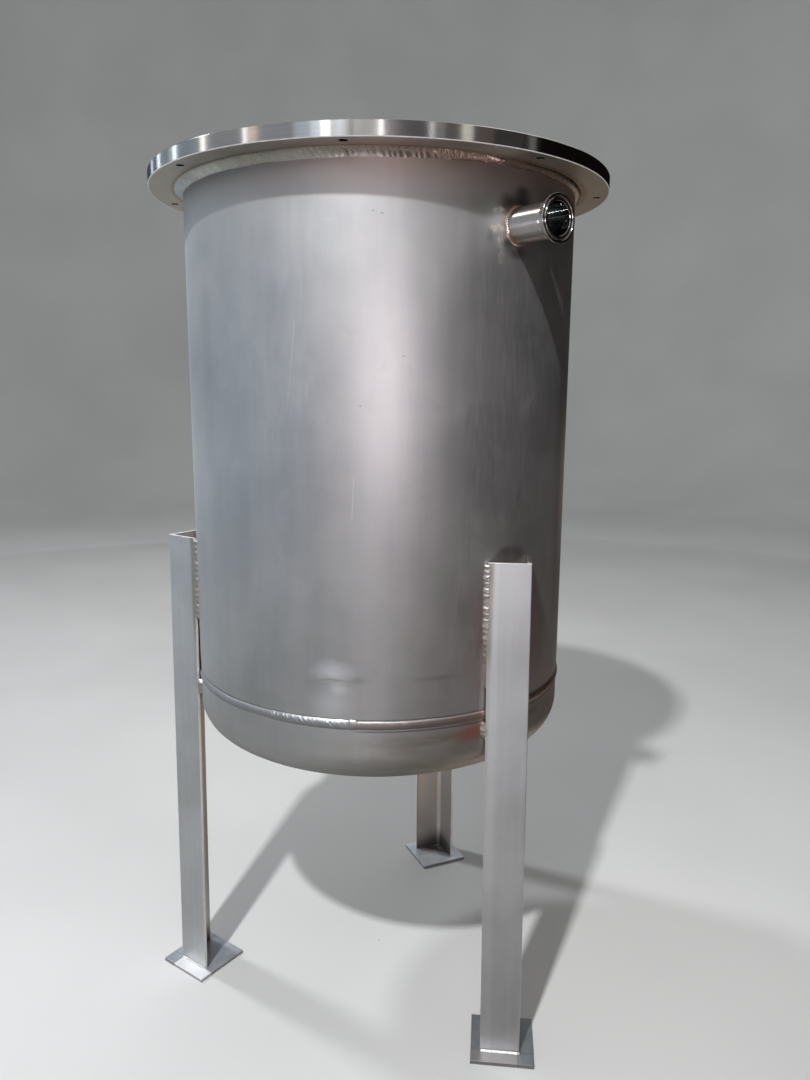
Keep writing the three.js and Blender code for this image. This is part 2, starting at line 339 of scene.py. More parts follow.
def handling_marks(g, where, colour):
    """Two fine scratches, a short rub and a few dark specks on the side that the photograph shows."""
    long = scratch(where, (-21.3, 914.5 * MM), (-24.0, 808.9 * MM))
    short = scratch(where, (-6.5, 745 * MM), (-7.1, 690 * MM))
    colour = g.tint(colour, long + short, 0.35, grey(0.85))
    rub = patch(where, from_camera(-12.7), 1008 * MM, 15 * MM, 1.4 * MM, 0.1)
    colour = g.tint(colour, rub, 0.2, grey(0.85))
    for azimuth, middle, wide in ((5.8, 870, 2.4), (-4.9, 817.5, 2.0), (0.4, 1013.5, 3.0), (-1.7, 1016, 2.2)):
        speck = patch(where, from_camera(azimuth), middle * MM, wide * MM, 1.4 * MM)
        colour = g.tint(colour, speck, 0.3, SOOT)
    return colour


def weld_marks(g, where, colour):
    """Along the girth weld: pale highlights painted on dents, painted shade in creases and at the bead's
    edges, heat tint.
    """
    turn, height = where
    uneven = ragged(g, where, 55.0, 13 * MM)
    pale, tan, green, red = (0.93, 0.95, 1.0), (0.70, 0.62, 0.54), (0.42, 0.46, 0.43), (0.60, 0.25, 0.20)
    # Pale patches are painted highlights, thin dark ones painted shade in the creases
    for azimuth, middle, wide, tall, core, share, tint in (
            (-12.6, 517, 32, 20, 0.0, 0.75, pale),
            (-11.0, 497, 17, 11, 0.0, 0.60, pale),
            (-13.0, 479, 38, 32, 0.0, 0.50, pale),
            (-12.5, 507, 28, 2.6, 0.0, 0.30, SOOT),
            (-5.5, 508, 18, 6, 0.0, 0.22, SOOT),
            (16.0, 508, 44, 6, 0.0, 0.20, SOOT),
            (-8.8, 482, 4, 18, 0.0, 0.45, tan),
            (-33.0, 474, 70, 14, 0.2, 0.35, green),
            (26.5, 436, 38, 19, 0.0, 0.85, red)):
        mark = patch(uneven, from_camera(azimuth), middle * MM, wide * MM, tall * MM, core)
        colour = g.tint(colour, mark, share, tint)
    # Painted shade as dark lines below and above the bead
    beneath = height.band(GIRTH_HEIGHT - 7.6 * MM, 0.5 * MM, 1.0 * MM) * rightwards(turn, -9, -3)
    colour = g.tint(colour, beneath, 0.6, SOOT)
    return g.tint(colour, height.band(GIRTH_HEIGHT + 6.4 * MM, 0.4 * MM, 1.0 * MM), 0.5, SOOT)


def dish_stain(g, where, colour):
    """Olive and brown streaks on the bottom below the girth weld, from the photograph's side rightwards."""
    turn, height = where
    below = height.ramp(GIRTH_HEIGHT - 6 * MM, GIRTH_HEIGHT - 18 * MM)
    streaks = g.noise(30.0, (0.6, 0.6, 2.6), 5.0, 0.65, 0.4).ramp(0.35, 0.65, 0.45, 1.0)
    tint = g.mix(g.noise(12.0).ramp(0.4, 0.6), (0.33, 0.34, 0.28), (0.36, 0.30, 0.26))
    return g.tint(colour, below * streaks, rightwards(turn, -24, 18).ramp(0.0, 1.0, 0.12, 0.75), tint)


def leg_smudges(g, where, colour):
    """Heat tint and painted shade where each leg meets the shell: painted shade above it, a brown heat tint
    beside it.
    """
    uneven = g.noise(60.0).ramp(0.3, 0.7, 0.6, 1.0)
    for azimuth in LEG_ANGLES.values():
        beside = patch(where, azimuth, LEG_TOP - 85 * MM, 82 * MM, 125 * MM, 0.25)
        above = patch(where, azimuth, LEG_TOP + 4 * MM, 32 * MM, 15 * MM)
        colour = g.tint(colour, beside * uneven, 0.72, (0.48, 0.31, 0.27))
        # Painted shade above the leg's top
        colour = g.tint(colour, above * uneven, 0.55, SOOT)
    return colour


def nozzle_marks(g, where, colour):
    """Soot above the nozzle's root, heat tint close round it, and pale rubbed marks to its left."""
    where = ragged(g, where, 45.0, 12 * MM)

    def spot(aside, up, wide, tall, core):
        azimuth = math.degrees(aside * MM / SHELL_RADIUS)
        return patch(where, azimuth, NOZZLE_HEIGHT + up * MM, wide * MM, tall * MM, core)

    for aside, up, wide, tall, core, share, tint in (
            (-52, 18, 40, 17, 0.0, 0.5, (0.36, 0.38, 0.33)),
            (0, 0, 34, 34, 0.5, 0.35, ROSE),
            (2, 24, 28, 20, 0.0, 0.95, SOOT),
            (-18, 20, 20, 15, 0.1, 0.85, SOOT),
            (3, 35, 13, 11, 0.0, 0.7, SOOT),
            (-17, -21, 13, 10, 0.1, 0.75, SOOT),
            (-3, -29, 24, 9, 0.1, 0.65, SOOT),
            (-40, -14, 9, 13, 0.0, 0.40, SOOT)):
        colour = g.tint(colour, spot(aside, up, wide, tall, core), share, tint)
    streaks = g.noise(200.0, (1.0, 1.0, 0.7)).ramp(0.4, 0.6, 0.25, 1.0)
    for aside, up, wide, tall in ((-30, 13, 10, 4), (-32, -5, 12, 6), (-28, -20, 6, 10), (-26, -35, 5, 9)):
        colour = g.tint(colour, spot(aside, up, wide, tall, 0.4) * streaks, 0.8, (0.93, 0.86, 0.80))
    return colour


def turned_material():
    """Turned and polished steel: fine rings, with a sheen that spreads across them."""
    g = Graph("turned_steel", Metallic=1.0, Anisotropic=0.9, Anisotropic_Rotation=0.25)
    broad = g.noise(16.0, (1.0, 1.0, 0.3))
    fine = g.noise(420.0, (0.05, 0.05, 1.0))
    scuffs = g.noise(70.0, (1.0, 1.0, 4.0), 5.0, 0.7).ramp(0.6, 0.75)
    colour = g.mix(broad.ramp(0.3, 0.7), grey(0.58, 0.01), grey(0.66, 0.02))
    colour = g.mix(fine.ramp(0.35, 0.65, 0.0, 0.35), colour, grey(0.50))
    colour = g.tint(colour, scuffs, 0.3, grey(0.42, 0.02))
    rough = broad.ramp(0.3, 0.7, 0.14, 0.18) + scuffs * 0.08
    normal = g.bump(g.rings(2600.0, 0.7), 0.006 * MM)
    return g.use(Base_Color=colour, Roughness=rough, Normal=normal, Tangent=g.tangent("Z"))


def matt_flange_material():
    """The flange's underside, left as cut: matt, with faint rings and heat tint beside the weld."""
    g = Graph("matt_flange", Metallic=1.0)
    clouds = g.noise(20.0, detail=5.0, roughness=0.6)
    colour = g.mix(clouds.ramp(0.3, 0.7), (0.46, 0.43, 0.38), (0.54, 0.51, 0.46))
    colour = g.mix(g.radius().band(SHELL_RADIUS + 11 * MM, 1 * MM, 4 * MM), colour, (0.40, 0.33, 0.25))
    normal = g.bump(g.rings(1400.0, 0.6), 0.02 * MM)
    return g.use(Base_Color=colour, Roughness=clouds.ramp(0.3, 0.7, 0.45, 0.55), Normal=normal)


def worn_material():
    """The rim's lower chamfer, deburred by hand, painted pale and nearly matt as a highlight along the edge.
    """
    g = Graph("chamfer_painted_highlight", Metallic=0.15)
    nicks = g.noise(160.0, detail=4.0, roughness=0.6)
    colour = g.mix(nicks.ramp(0.35, 0.65), grey(0.76, 0.02), grey(0.94, 0.02))
    rough = nicks.ramp(0.3, 0.7, 0.4, 0.5)
    return g.use(Base_Color=colour, Roughness=rough, Normal=g.bump(nicks, 0.05 * MM))


def polished_material(name, roughness, spread):
    """Steel polished round and round, so that lights draw lines along it, longer with more spread."""
    g = Graph(name, Metallic=1.0, Anisotropic=spread, Anisotropic_Rotation=0.25)
    lines = g.noise(1500.0, (0.04, 1.0, 0.04), 3.0, 0.6)
    clouds = g.noise(45.0)
    heat = g.y.ramp(-(SHELL_RADIUS + 12 * MM), -(SHELL_RADIUS + 3 * MM))
    colour = g.mix(clouds.ramp(0.3, 0.7), grey(0.60, 0.02), grey(0.68, 0.03))
    colour = g.mix(lines.ramp(0.35, 0.65, 0.0, 0.3), colour, grey(0.5, 0.03))
    colour = g.tint(colour, heat * clouds.ramp(0.3, 0.6), 0.75, STRAW)
    rough = clouds.ramp(0.3, 0.7, roughness - 0.02, roughness + 0.02) + lines.ramp(0.3, 0.7, -0.02, 0.03)
    normal = g.bump(lines, 0.004 * MM)
    return g.use(Base_Color=colour, Roughness=rough, Normal=normal, Tangent=g.tangent("Y"))


def bore_material():
    """The tube's inside and the bolt holes: painted darker than outside as shade, with lines along it and
    paler painted lines of light.
    """
    g = Graph("bore_painted_shade", Metallic=1.0, Anisotropic=0.9, Anisotropic_Rotation=0.25)
    lines = g.noise(700.0, (1.0, 0.03, 1.0), 3.0, 0.6)
    clouds = g.noise(60.0)
    colour = g.mix(clouds.ramp(0.3, 0.7), grey(0.20), grey(0.28))
    # Paler lines painted as lines of light
    colour = g.mix(lines.ramp(0.62, 0.7, 0.0, 0.7), colour, grey(0.5))
    rough = clouds.ramp(0.3, 0.7, 0.09, 0.13)
    normal = g.bump(lines, 0.01 * MM)
    return g.use(Base_Color=colour, Roughness=rough, Normal=normal, Tangent=g.tangent("Y"))


def leg_material(name, tone, warmth, grime=0.0):
    """Rolled angle with a dull mill finish, grain along its length, rubbed marks and heat-tinted toes.

    Its left toe on leg 1 is a little paler, a dark line of painted shade lies over its foot weld, and a share
    of painted shade darkens its foot.
    """
    g = Graph(name, Metallic=0.85)
    grain = g.noise(800.0, (1.0, 1.0, 0.03), 3.0, 0.6)
    bands = g.noise(120.0, (1.0, 1.0, 0.02))
    clouds = g.noise(14.0, detail=5.0, roughness=0.6)
    marks = g.noise(60.0, (1.0, 1.0, 0.5), 6.0, 0.7).ramp(0.62, 0.72)
    colour = g.mix(clouds.ramp(0.3, 0.7), grey(tone, warmth), grey(tone + 0.07, warmth))
    colour = g.mix(bands.ramp(0.35, 0.65, 0.0, 0.16), colour, grey(tone + 0.17, warmth))
    colour = g.tint(colour, marks, 0.2, grey(0.42, 0.02))
    colour = g.tint(colour, g.x.ramp(-25 * MM, -28 * MM) * g.y.ramp(-0.15, -0.20), 0.15, grey(0.86))
    # Painted shade in the undercut over the foot weld
    undercut = g.z.band(PLATE_TOP + 3.0 * MM, 0.4 * MM, 0.9 * MM) * clouds.ramp(0.3, 0.6)
    colour = g.tint(colour, undercut, 0.6, SOOT)
    # Painted shade darkening the foot
    colour = g.tint(colour, g.z.ramp(45 * MM, 8 * MM), grime, (0.12, 0.09, 0.07))
    toe = g.radius().ramp(SHELL_RADIUS + 6.2 * MM, SHELL_RADIUS + 9.5 * MM, 1.0, 0.0)
    patchy = g.noise(40.0, (1.0, 1.0, 0.5)).ramp(0.35, 0.65)
    heat = g.mix(patchy, (0.26, 0.27, 0.20), (0.42, 0.33, 0.29))
    colour = g.tint(colour, toe, g.z.ramp(LEG_TOP - 150 * MM, LEG_TOP - 100 * MM, 0.35, 0.8), heat)
    rough = clouds.ramp(0.3, 0.7, 0.42, 0.5) + grain.ramp(0.3, 0.7, -0.03, 0.03)
    normal = g.bump(clouds, 0.2 * MM, Normal=g.bump(grain, 0.015 * MM))
    return g.use(Base_Color=colour, Roughness=rough, Normal=normal)


def cut_edge_material():
    """The legs' sawn and deburred edges: pale, less metallic on leg 2, and painted dark as shade on tops at
    +X.
    """
    g = Graph("leg_edge")
    saw = g.noise(900.0, (1.0, 1.0, 0.4), 3.0, 0.6)
    colour = g.mix(saw.ramp(0.35, 0.65), grey(0.74), grey(0.88))
    # Painted shade on the tops at +X
    sooty_top = g.z.ramp(LEG_TOP - 1.2 * MM, LEG_TOP - 0.6 * MM) * g.x.ramp(2 * MM, 6 * MM)
    colour = g.tint(colour, sooty_top, 0.9, grey(0.04))
    g.use(Metallic=g.x.ramp(0.10, 0.12, 0.55, 0.1))
    return g.use(Base_Color=colour, Roughness=saw.ramp(0.3, 0.7, 0.3, 0.42), Normal=g.bump(saw, 0.02 * MM))


def rubbed_strip(g, colour, number, side, tint):
    """A paler strip painted as light in front of one weld of a leg's foot, out to a line scribed just past
    the heel.

    The side is 1 for the sheet to the leg's left and -1 for the one to its right.
    """
    aside, inward = g.turned(LEG_ANGLES[number])
    aside, inward = aside * side, inward + PLATE_CENTRE
    along, across = (aside - inward) * SLANT, (aside + inward) * -SLANT
    on_plate = along.band(0.0, 60 * MM, 1 * MM)
    near = on_plate * across.band(0.0, 60 * MM, 1 * MM)
    # The paler strip is painted light on the plate
    strip = across.ramp(20 * MM, 23 * MM) * along.ramp(19 * MM, 20 * MM, 1.0, 0.0) * on_plate
    colour = g.tint(colour, strip, 0.8, tint)
    colour = g.tint(colour, along.band(20 * MM, 0.3 * MM, 0.4 * MM) * near, 0.7, grey(0.05))
    line = across.band(21 * MM, 0.2 * MM, 0.4 * MM) * along.ramp(19 * MM, 20 * MM)
    return g.tint(colour, line * near, 0.6, grey(0.05))


def corner_grime(g, colour):
    """Painted shade in the corner between the two sheets of each leg, where they stand on their plates."""
    uneven = g.noise(90.0).ramp(0.3, 0.6, 0.5, 1.0)
    for angle in LEG_ANGLES.values():
        aside, inward = g.turned(angle)
        inward = inward + heel_radius(0.0)
        inside = (inward - aside.size()).ramp(2 * MM, 5 * MM) * inward.ramp(37 * MM, 27 * MM)
        colour = g.tint(colour, inside * uneven, 0.85, (0.05, 0.045, 0.04))
    return colour


def plate_material():
    """Dull cut plate with scale and rub marks, its tone painted as light and shade: dark under leg 1, grey
    under leg 3, pale under leg 2.
    """
    g = Graph("plate_steel", Metallic=0.55)
    clouds = g.noise(35.0, detail=6.0, roughness=0.65)
    marks = g.noise(160.0, (1.0, 0.25, 1.0), 5.0, 0.7).ramp(0.6, 0.72)
    cloudy = clouds.ramp(0.3, 0.7)
    dark = g.mix(cloudy, (0.15, 0.17, 0.18), (0.23, 0.245, 0.255))
    middle = g.mix(cloudy, (0.32, 0.345, 0.37), (0.45, 0.475, 0.50))
    light = g.mix(cloudy, (0.62, 0.66, 0.70), (0.80, 0.84, 0.88))
    # Painted light and shade: one plate's dark, grey and pale tones by where it stands
    colour = g.mix(g.y.ramp(-0.15, -0.10), dark, g.mix(g.x.ramp(-0.1, 0.1), middle, light))
    colour = g.tint(colour, marks, 0.3, grey(0.3))
    colour = rubbed_strip(g, colour, 1, 1, (0.28, 0.265, 0.257))
    colour = corner_grime(g, colour)
    colour = rubbed_strip(g, colour, 3, -1, grey(1.0))
    # Painted shade on the plate's sides
    colour = g.mix(g.z.ramp(PLATE_TOP * 0.92, PLATE_TOP * 0.8, 0.0, 0.6), colour, grey(0.22, 0.02))
    rough = clouds.ramp(0.3, 0.7, 0.33, 0.45)
    return g.use(Base_Color=colour, Roughness=rough, Normal=g.bump(clouds, 0.15 * MM))


def weld_material(name, stops, roughness, browned_below=None):
    """Weld metal with fine solidification lines.

    Its tint changes round the axis. Each stop is an azimuth from the camera's side and a colour, and the
    first colour comes back behind the tank. Below a height, heat can have browned its right-hand side.
    """
    g = Graph(name, Metallic=1.0)
    turn = g.azimuth()
    colour = stops[0][1]
    for (start, _), (end, after) in zip(stops, stops[1:]):
        colour = g.mix(turn.ramp(seen(start), seen(end)), colour, after)
    colour = g.mix(turn.ramp(*BEHIND), colour, stops[0][1])
    mottle = g.noise(90.0, detail=4.0, roughness=0.6)
    fine = g.noise(700.0, roughness=0.6)
    colour = g.mix(mottle.ramp(0.4, 0.65, 0.0, 0.3), colour, grey(0.36, 0.04))
    colour = g.tint(colour, g.noise(240.0).ramp(0.6, 0.7), 0.1, SOOT)
    if browned_below is not None:
        low = g.z.ramp(browned_below - 1.0 * MM, browned_below + 1.2 * MM, 1.0, 0.0)
        colour = g.tint(colour, low * rightwards(turn, -9, -3), 0.3, (0.16, 0.125, 0.12))
    rough = mottle.ramp(0.3, 0.7, roughness - 0.04, roughness + 0.05) + fine.ramp(0.3, 0.7, -0.03, 0.04)
    return g.use(Base_Color=colour, Roughness=rough, Normal=g.bump(fine, 0.015 * MM))


# Mesh helpers. Every mesh is a list of points and a list of faces.

def solid_mesh(name, mesh):
    """A closed mesh with its faces pointing outwards."""
    points, faces = mesh
    data = bpy.data.meshes.new(name)
    data.from_pydata([tuple(p) for p in points], [], [tuple(int(i) for i in f) for f in faces])
    data.validate()
    shape = bmesh.new()
    shape.from_mesh(data)
    bmesh.ops.recalc_face_normals(shape, faces=shape.faces)
    shape.to_mesh(data)
    shape.free()
    return data


def piece(name, mesh, materials, replaces, faces_of=None, sharp=35.0):
    """A riding piece from a mesh. faces_of gives a face's material number."""
    data = solid_mesh(name, mesh)
    for material in materials:
        data.materials.append(material)
    data.shade_smooth()
    data.set_sharp_from_angle(angle=math.radians(sharp))
    if faces_of:
        for face in data.polygons:
            face.material_index = faces_of(face)
    made = linked(name, data)
    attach(made, "root")
    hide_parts(replaces)
    return made


def bead(name, mesh, material, replaces):
    return piece(name, mesh, [material], replaces, sharp=60)


def loft(sections, loop=False):
    """Points and faces through sections, an array of sections by points by 3. Open ends get caps."""
    count, size, _ = sections.shape
    points = sections.reshape(-1, 3)
    here = np.arange(count if loop else count - 1)[:, None]
    after = (here + 1) % count
    i = np.arange(size)[None, :]
    j = (i + 1) % size
    quads = np.stack([here * size + i, here * size + j, after * size + j, after * size + i], axis=2)
    faces = [tuple(q) for q in quads.reshape(-1, 4)]
    if not loop:
        faces.append(tuple(range(size)))
        faces.append(tuple(range((count - 1) * size, count * size)))
    return points, faces


def circle(steps):
    return np.linspace(0, 2 * math.pi, steps, endpoint=False)[:, None]


def revolved(turn, radius, height):
    """A closed mesh round the axis, from arrays of radius and height, turns by points."""
    sections = np.stack([radius * np.sin(turn), -radius * np.cos(turn), height + 0 * turn], axis=2)
    return loft(sections, loop=True)


def lathe(profile, steps):
    """A closed profile of (radius, height) points turned about Z."""
    radius, height = np.array(profile, float).T[:, None, :]
    return revolved(circle(steps), radius, height)


def moved(mesh, matrix):
    points, faces = mesh
    return [matrix @ Vector(p) for p in points], faces


def arc(x, y, radius, start, end, steps):
    turn = np.radians(np.linspace(start, end, steps + 1))
    return [(x + radius * math.cos(t), y + radius * math.sin(t)) for t in turn]


def wander(turn, seed, harmonics):
    """Smooth noise round a circle, from about -1 to 1."""
    rng = np.random.default_rng(seed)
    total = 0 * turn
    for k in harmonics:
        total = total + rng.uniform(0.5, 1.0) * np.sin(k * turn + rng.uniform(0, 2 * math.pi))
    return total / (0.75 * math.sqrt(len(harmonics) / 2) * 1.6)


def scales(along, across, pitch, bow):
    """Overlapping weld ripples from 0 to 1, bowed backwards in the bead's middle."""
    part = ((along - bow * (1 - across ** 2)) / pitch) % 1.0
    rise = np.minimum(part / 0.72, 1.0)
    fall = np.clip((1.0 - part) / 0.28, 0.0, 1.0)
    return rise ** 0.8 * np.sin(fall * math.pi / 2)


def torn(along, pitch):
    """Coarse ripples from 0 to 1 along a bead, each with a height and a crest of its own."""
    rng = np.random.default_rng(5)
    tall, crest = rng.uniform(0.45, 1.0, 512), rng.uniform(0.3, 0.6, 512)
    number = np.floor(along / pitch).astype(int) % 512
    part = (along / pitch) % 1.0
    crest = crest[number]
    ramp = np.where(part < crest, part / crest, (1 - part) / (1 - crest))
    return tall[number] * ramp ** 1.3


def pierced_grid(columns, levels, holes, place, rings=4):
    """A grid round the axis with round holes in it.

    place(turn, level) gives a point. Each hole is (column, level number, half size in cells, radius,
    reach), where reach is the radius that turns an angle into a length. Gives points, faces and the
    loops of points round the holes.
    """
    step = 2 * math.pi / columns
    points = [place(j * step, level) for level in levels for j in range(columns)]
    blocked = {(i, j % columns) for column, row, half, _, _ in holes
               for i in range(row - half, row + half) for j in range(column - half, column + half)}
    faces = []
    for i in range(len(levels) - 1):
        here, above = i * columns, (i + 1) * columns
        for j in range(columns):
            if (i, j) not in blocked:
                k = (j + 1) % columns
                faces.append((here + j, here + k, above + k, above + j))
    loops = [pierce(points, faces, columns, levels, hole, place, step, rings) for hole in holes]
    return points, faces, loops


def stacked(front, back):
    """Two pierced grids as one mesh, and the pairs of loops round the same holes."""
    points, faces, loops = front
    start = len(points)
    faces = faces + [tuple(i + start for i in f) for f in back[1]]
    pairs = [(mine, [i + start for i in other]) for mine, other in zip(loops, back[2])]
    return points + back[0], faces, pairs, start


def square_walk(half):
    """Grid steps once round a square, from the middle of its first side."""
    right = [(half, k) for k in range(0, half)]
    top = [(k, half) for k in range(half, -half, -1)]
    left = [(-half, k) for k in range(half, -half, -1)]
    bottom = [(k, -half) for k in range(-half, half)]
    return right + top + left + bottom + [(half, k) for k in range(-half, 0)]


def pierce(points, faces, columns, levels, hole, place, step, rings):
    """Fills the blocked square round a hole with rings, and gives the hole's own loop."""
    column, row, half, radius, reach = hole
    centre = levels[row]
    walk = square_walk(half)
    outer = [(row + b) * columns + (column + a) % columns for a, b in walk]
    edge = [(a * step * reach, levels[row + b] - centre) for a, b in walk]
    for ring in range(1, rings + 1):
        share = 1 - (ring / rings) ** 0.8
        loop = []
        for k, (x, y) in enumerate(edge):
            turn = 2 * math.pi * k / len(edge)
            across = x * share + radius * math.cos(turn) * (1 - share)
            up = y * share + radius * math.sin(turn) * (1 - share)
            loop.append(len(points))
            points.append(place(column * step + across / reach, centre + up))
        for k in range(len(loop)):
            m = (k + 1) % len(loop)
            faces.append((outer[k], outer[m], loop[m], loop[k]))
        outer = loop
    return outer


def bridged(first, second):
    """Faces between two loops of points."""
    return [(first[k], first[(k + 1) % len(first)], second[(k + 1) % len(first)], second[k])
            for k in range(len(first))]


def two_sided(front, back, columns, rows):
    """Joins two pierced grids of the same shape into one closed sheet, back to back."""
    points, faces, pairs, start = stacked(front, back)
    for mine, other in pairs:
        faces += bridged(mine, other)
    for row in (0, rows - 1):
        mine = list(range(row * columns, (row + 1) * columns))
        faces += bridged([i + start for i in mine], mine)
    return points, faces


# Vessel

SHELL_COLUMNS = 256
REWORK = from_camera(-20.0)  # azimuth of the stretch of the girth weld that was welded over again


def round_noise(turn, height):
    """How far the rolled shell stands out from a true cylinder."""
    wave = 0.10 * MM * math.sin(2 * turn + 0.6) + 0.07 * MM * math.sin(5 * turn + 9 * height)
    wave += 0.05 * MM * math.sin(9 * turn - 14 * height + 1.0)
    from_weld = height - GIRTH_HEIGHT
    wave -= 0.55 * MM * math.exp(-(from_weld / (17 * MM)) ** 2)
    from_flange = height - FLANGE_BOTTOM
    wave -= 0.25 * MM * math.exp(-(from_flange / (20 * MM)) ** 2)
    return wave + creases(turn, height)


def creases(turn, height):
    """Two short swellings pushed out above the girth weld, and a long faint one to their right."""
    total = 0.0
    for azimuth, middle, out, wide, tall in ((-12.4, 517 * MM, 0.55 * MM, 19 * MM, 10 * MM),
                                             (-11.2, 495 * MM, 0.35 * MM, 14 * MM, 9 * MM),
                                             (5.0, 513 * MM, 0.25 * MM, 66 * MM, 6 * MM)):
        off = math.degrees(turn) - from_camera(azimuth)
        off = math.radians((off + 180) % 360 - 180) * SHELL_RADIUS
        total += out * math.exp(-(off / wide) ** 2 - ((height - middle) / tall) ** 2)
    return total


def shell_levels():
    """Heights of the shell's rows. Round the nozzle they are as far apart as the columns."""
    half = 5
    step = 2 * math.pi * SHELL_RADIUS / SHELL_COLUMNS
    low, high = NOZZLE_HEIGHT - half * step, NOZZLE_HEIGHT + half * step
    creased = 540 * MM
    below = list(np.arange(SHELL_BOTTOM, creased, 2 * MM))
    below += list(np.linspace(creased, low, 70, endpoint=False))
    inside = [NOZZLE_HEIGHT + k * step for k in range(-half, half)]
    above = list(np.linspace(high, SHELL_TOP, 8))
    return below + inside + above, len(below) + half, half


def shell():
    levels, row, half = shell_levels()

    def wall(radius):
        def place(turn, height):
            return at(turn, radius + round_noise(turn, height), height)
        hole = (0, row, half, TUBE_RADIUS + 0.2 * MM, radius)
        return pierced_grid(SHELL_COLUMNS, levels, [hole], place)

    return two_sided(wall(SHELL_RADIUS), wall(SHELL_INNER), SHELL_COLUMNS, len(levels))


def dish_side(offset):
    """Half of the dished bottom's section, from near the axis up to its rim."""
    knuckle_x = SHELL_RADIUS - KNUCKLE_RADIUS
    reach = CROWN_RADIUS - KNUCKLE_RADIUS
    crown_z = TANGENT_HEIGHT + math.sqrt(reach ** 2 - knuckle_x ** 2)
    edge = math.degrees(math.asin(knuckle_x / reach))
    crown = arc(0, crown_z, CROWN_RADIUS - offset, -89.9, -90 + edge, 34)
    knuckle = arc(knuckle_x, TANGENT_HEIGHT, KNUCKLE_RADIUS - offset, -90 + edge, 0, 16)
    rim = [(SHELL_RADIUS - offset, h) for h in np.linspace(TANGENT_HEIGHT, DISH_TOP, 7)]
    return crown + knuckle[1:] + rim[1:]


def dish():
    """The dished bottom, drawn in a little beside the weld and closed by small discs at the axis."""
    turn = circle(SHELL_COLUMNS)
    radius, height = np.array(dish_side(0.0) + dish_side(SHEET)[::-1]).T[:, None, :]
    pull = 0.5 * MM * np.exp(-((height - GIRTH_HEIGHT) / (15 * MM)) ** 2)
    ripple = 0.25 * MM * np.sin(7 * turn + 1.0) * np.clip((DISH_TOP - height) / (60 * MM), 0, 1)
    return revolved(turn, radius - pull + ripple * np.minimum(radius / SHELL_RADIUS, 1) ** 2, height)


def flange():
    """Flat ring with bolt holes and small chamfers. The faces are pierced grids joined at the edges."""
    columns, half = 480, 3
    step = 2 * math.pi * BOLT_CIRCLE / columns
    chamfer, hole_edge = 0.8 * MM, 0.4 * MM
    bore = SHELL_RADIUS + 0.2 * MM
    block = [BOLT_CIRCLE + k * step for k in range(-half, half + 1)]
    levels = [bore, (bore + block[0]) / 2] + block + [FLANGE_RADIUS - chamfer]
    holes = [(60 * n, 2 + half, half, BOLT_HOLE + hole_edge, BOLT_CIRCLE) for n in range(BOLT_COUNT)]

    def face_at(height):
        def place(turn, radius):
            return at(turn, radius, height)
        return pierced_grid(columns, levels, holes, place, rings=3)

    points, faces, pairs, start = stacked(face_at(FLANGE_BOTTOM), face_at(FLANGE_TOP))
    for number, (mine, other) in enumerate(pairs):
        centre = around(360 * number / BOLT_COUNT, BOLT_CIRCLE)
        loop = mine
        for height in (FLANGE_BOTTOM + hole_edge, FLANGE_TOP - hole_edge):
            after = list(range(len(points), len(points) + len(mine)))
            for i in mine:
                out = (Vector(points[i]) - centre).to_2d().normalized() * BOLT_HOLE
                points.append((centre.x + out.x, centre.y + out.y, height))
            faces += bridged(loop, after)
            loop = after
        faces += bridged(loop, other)
    inner_low = list(range(columns))
    faces += bridged([i + start for i in inner_low], inner_low)
    edge = (len(levels) - 1) * columns
    ring = [edge + k for k in range(columns)]
    for radius, height in ((FLANGE_RADIUS, FLANGE_BOTTOM + chamfer), (FLANGE_RADIUS, FLANGE_TOP - chamfer)):
        after = list(range(len(points), len(points) + columns))
        points += [at(2 * math.pi * k / columns, radius, height) for k in range(columns)]
        faces += bridged(ring, after)
        ring = after
    faces += bridged(ring, [edge + start + k for k in range(columns)])
    return points, faces


# Ring welds

def across_bead(count):
    """Places across a bead from -1 to 1, the same from 0 to 1, and how far a round crown rises there."""
    across = np.linspace(-1, 1, count)
    return across, (across + 1) / 2, np.clip(1 - across ** 2, 0, 1)


def taper_at(from_end, length):
    """How full a bead is near its end, rounded over a length."""
    return math.sqrt(max(0.02, 1 - (1 - min(from_end / length, 1.0)) ** 2))


def fitted_pitch(pitch):
    """A ripple's length that goes round the shell a whole number of times."""
    length = 2 * math.pi * SHELL_RADIUS
    return length / round(length / pitch)


def stretch_of(turn, centre, half, fade):
    """One on a stretch round the axis and nothing beyond it, all in degrees."""
    off = np.abs((np.degrees(turn) - centre + 180) % 360 - 180)
    return np.clip((half + fade - off) / fade, 0, 1)


def flange_weld():
    """Fat fillet under the flange. Its ripples stand out where the torch dwelt, in front and behind."""
    legs = 11 * MM, 8.6 * MM
    slope = math.hypot(*legs)
    across, share, crown = across_bead(13)
    turn = circle(2800)
    along = turn * SHELL_RADIUS + 1.2 * MM * wander(turn, 3, range(3, 90, 7))
    bold = np.maximum(stretch_of(turn, from_camera(2), 12, 12), stretch_of(turn, from_camera(175), 60, 30))
    full = stretch_of(turn, from_camera(60), 30, 20)
    hollow = stretch_of(turn, from_camera(1), 7, 10)
    size = 1 + 0.05 * wander(turn, 8, range(5, 40, 5)) - 0.3 * full
    strokes = along - 5.0 * MM * (1 - share) ** 1.3
    lift = (2.7 * full - 1.1 * hollow - 1.0) * MM * crown ** 0.8
    lift = lift + (0.04 + 0.96 * bold) * 1.5 * MM * crown ** 0.5 * torn(strokes, fitted_pitch(6.8 * MM))
    lift = lift + 0.07 * MM * crown * scales(along, across, fitted_pitch(1.9 * MM), 1.5 * MM)
    radius = SHELL_RADIUS - EMBED + share * legs[0] * size + lift * legs[1] / slope
    height = FLANGE_BOTTOM + EMBED - (1 - share) * legs[1] * size - lift * legs[0] / slope
    root = 0 * turn + SHELL_RADIUS - EMBED, 0 * turn + FLANGE_BOTTOM + EMBED
    return revolved(turn, np.hstack([radius, root[0]]), np.hstack([height, root[1]]))


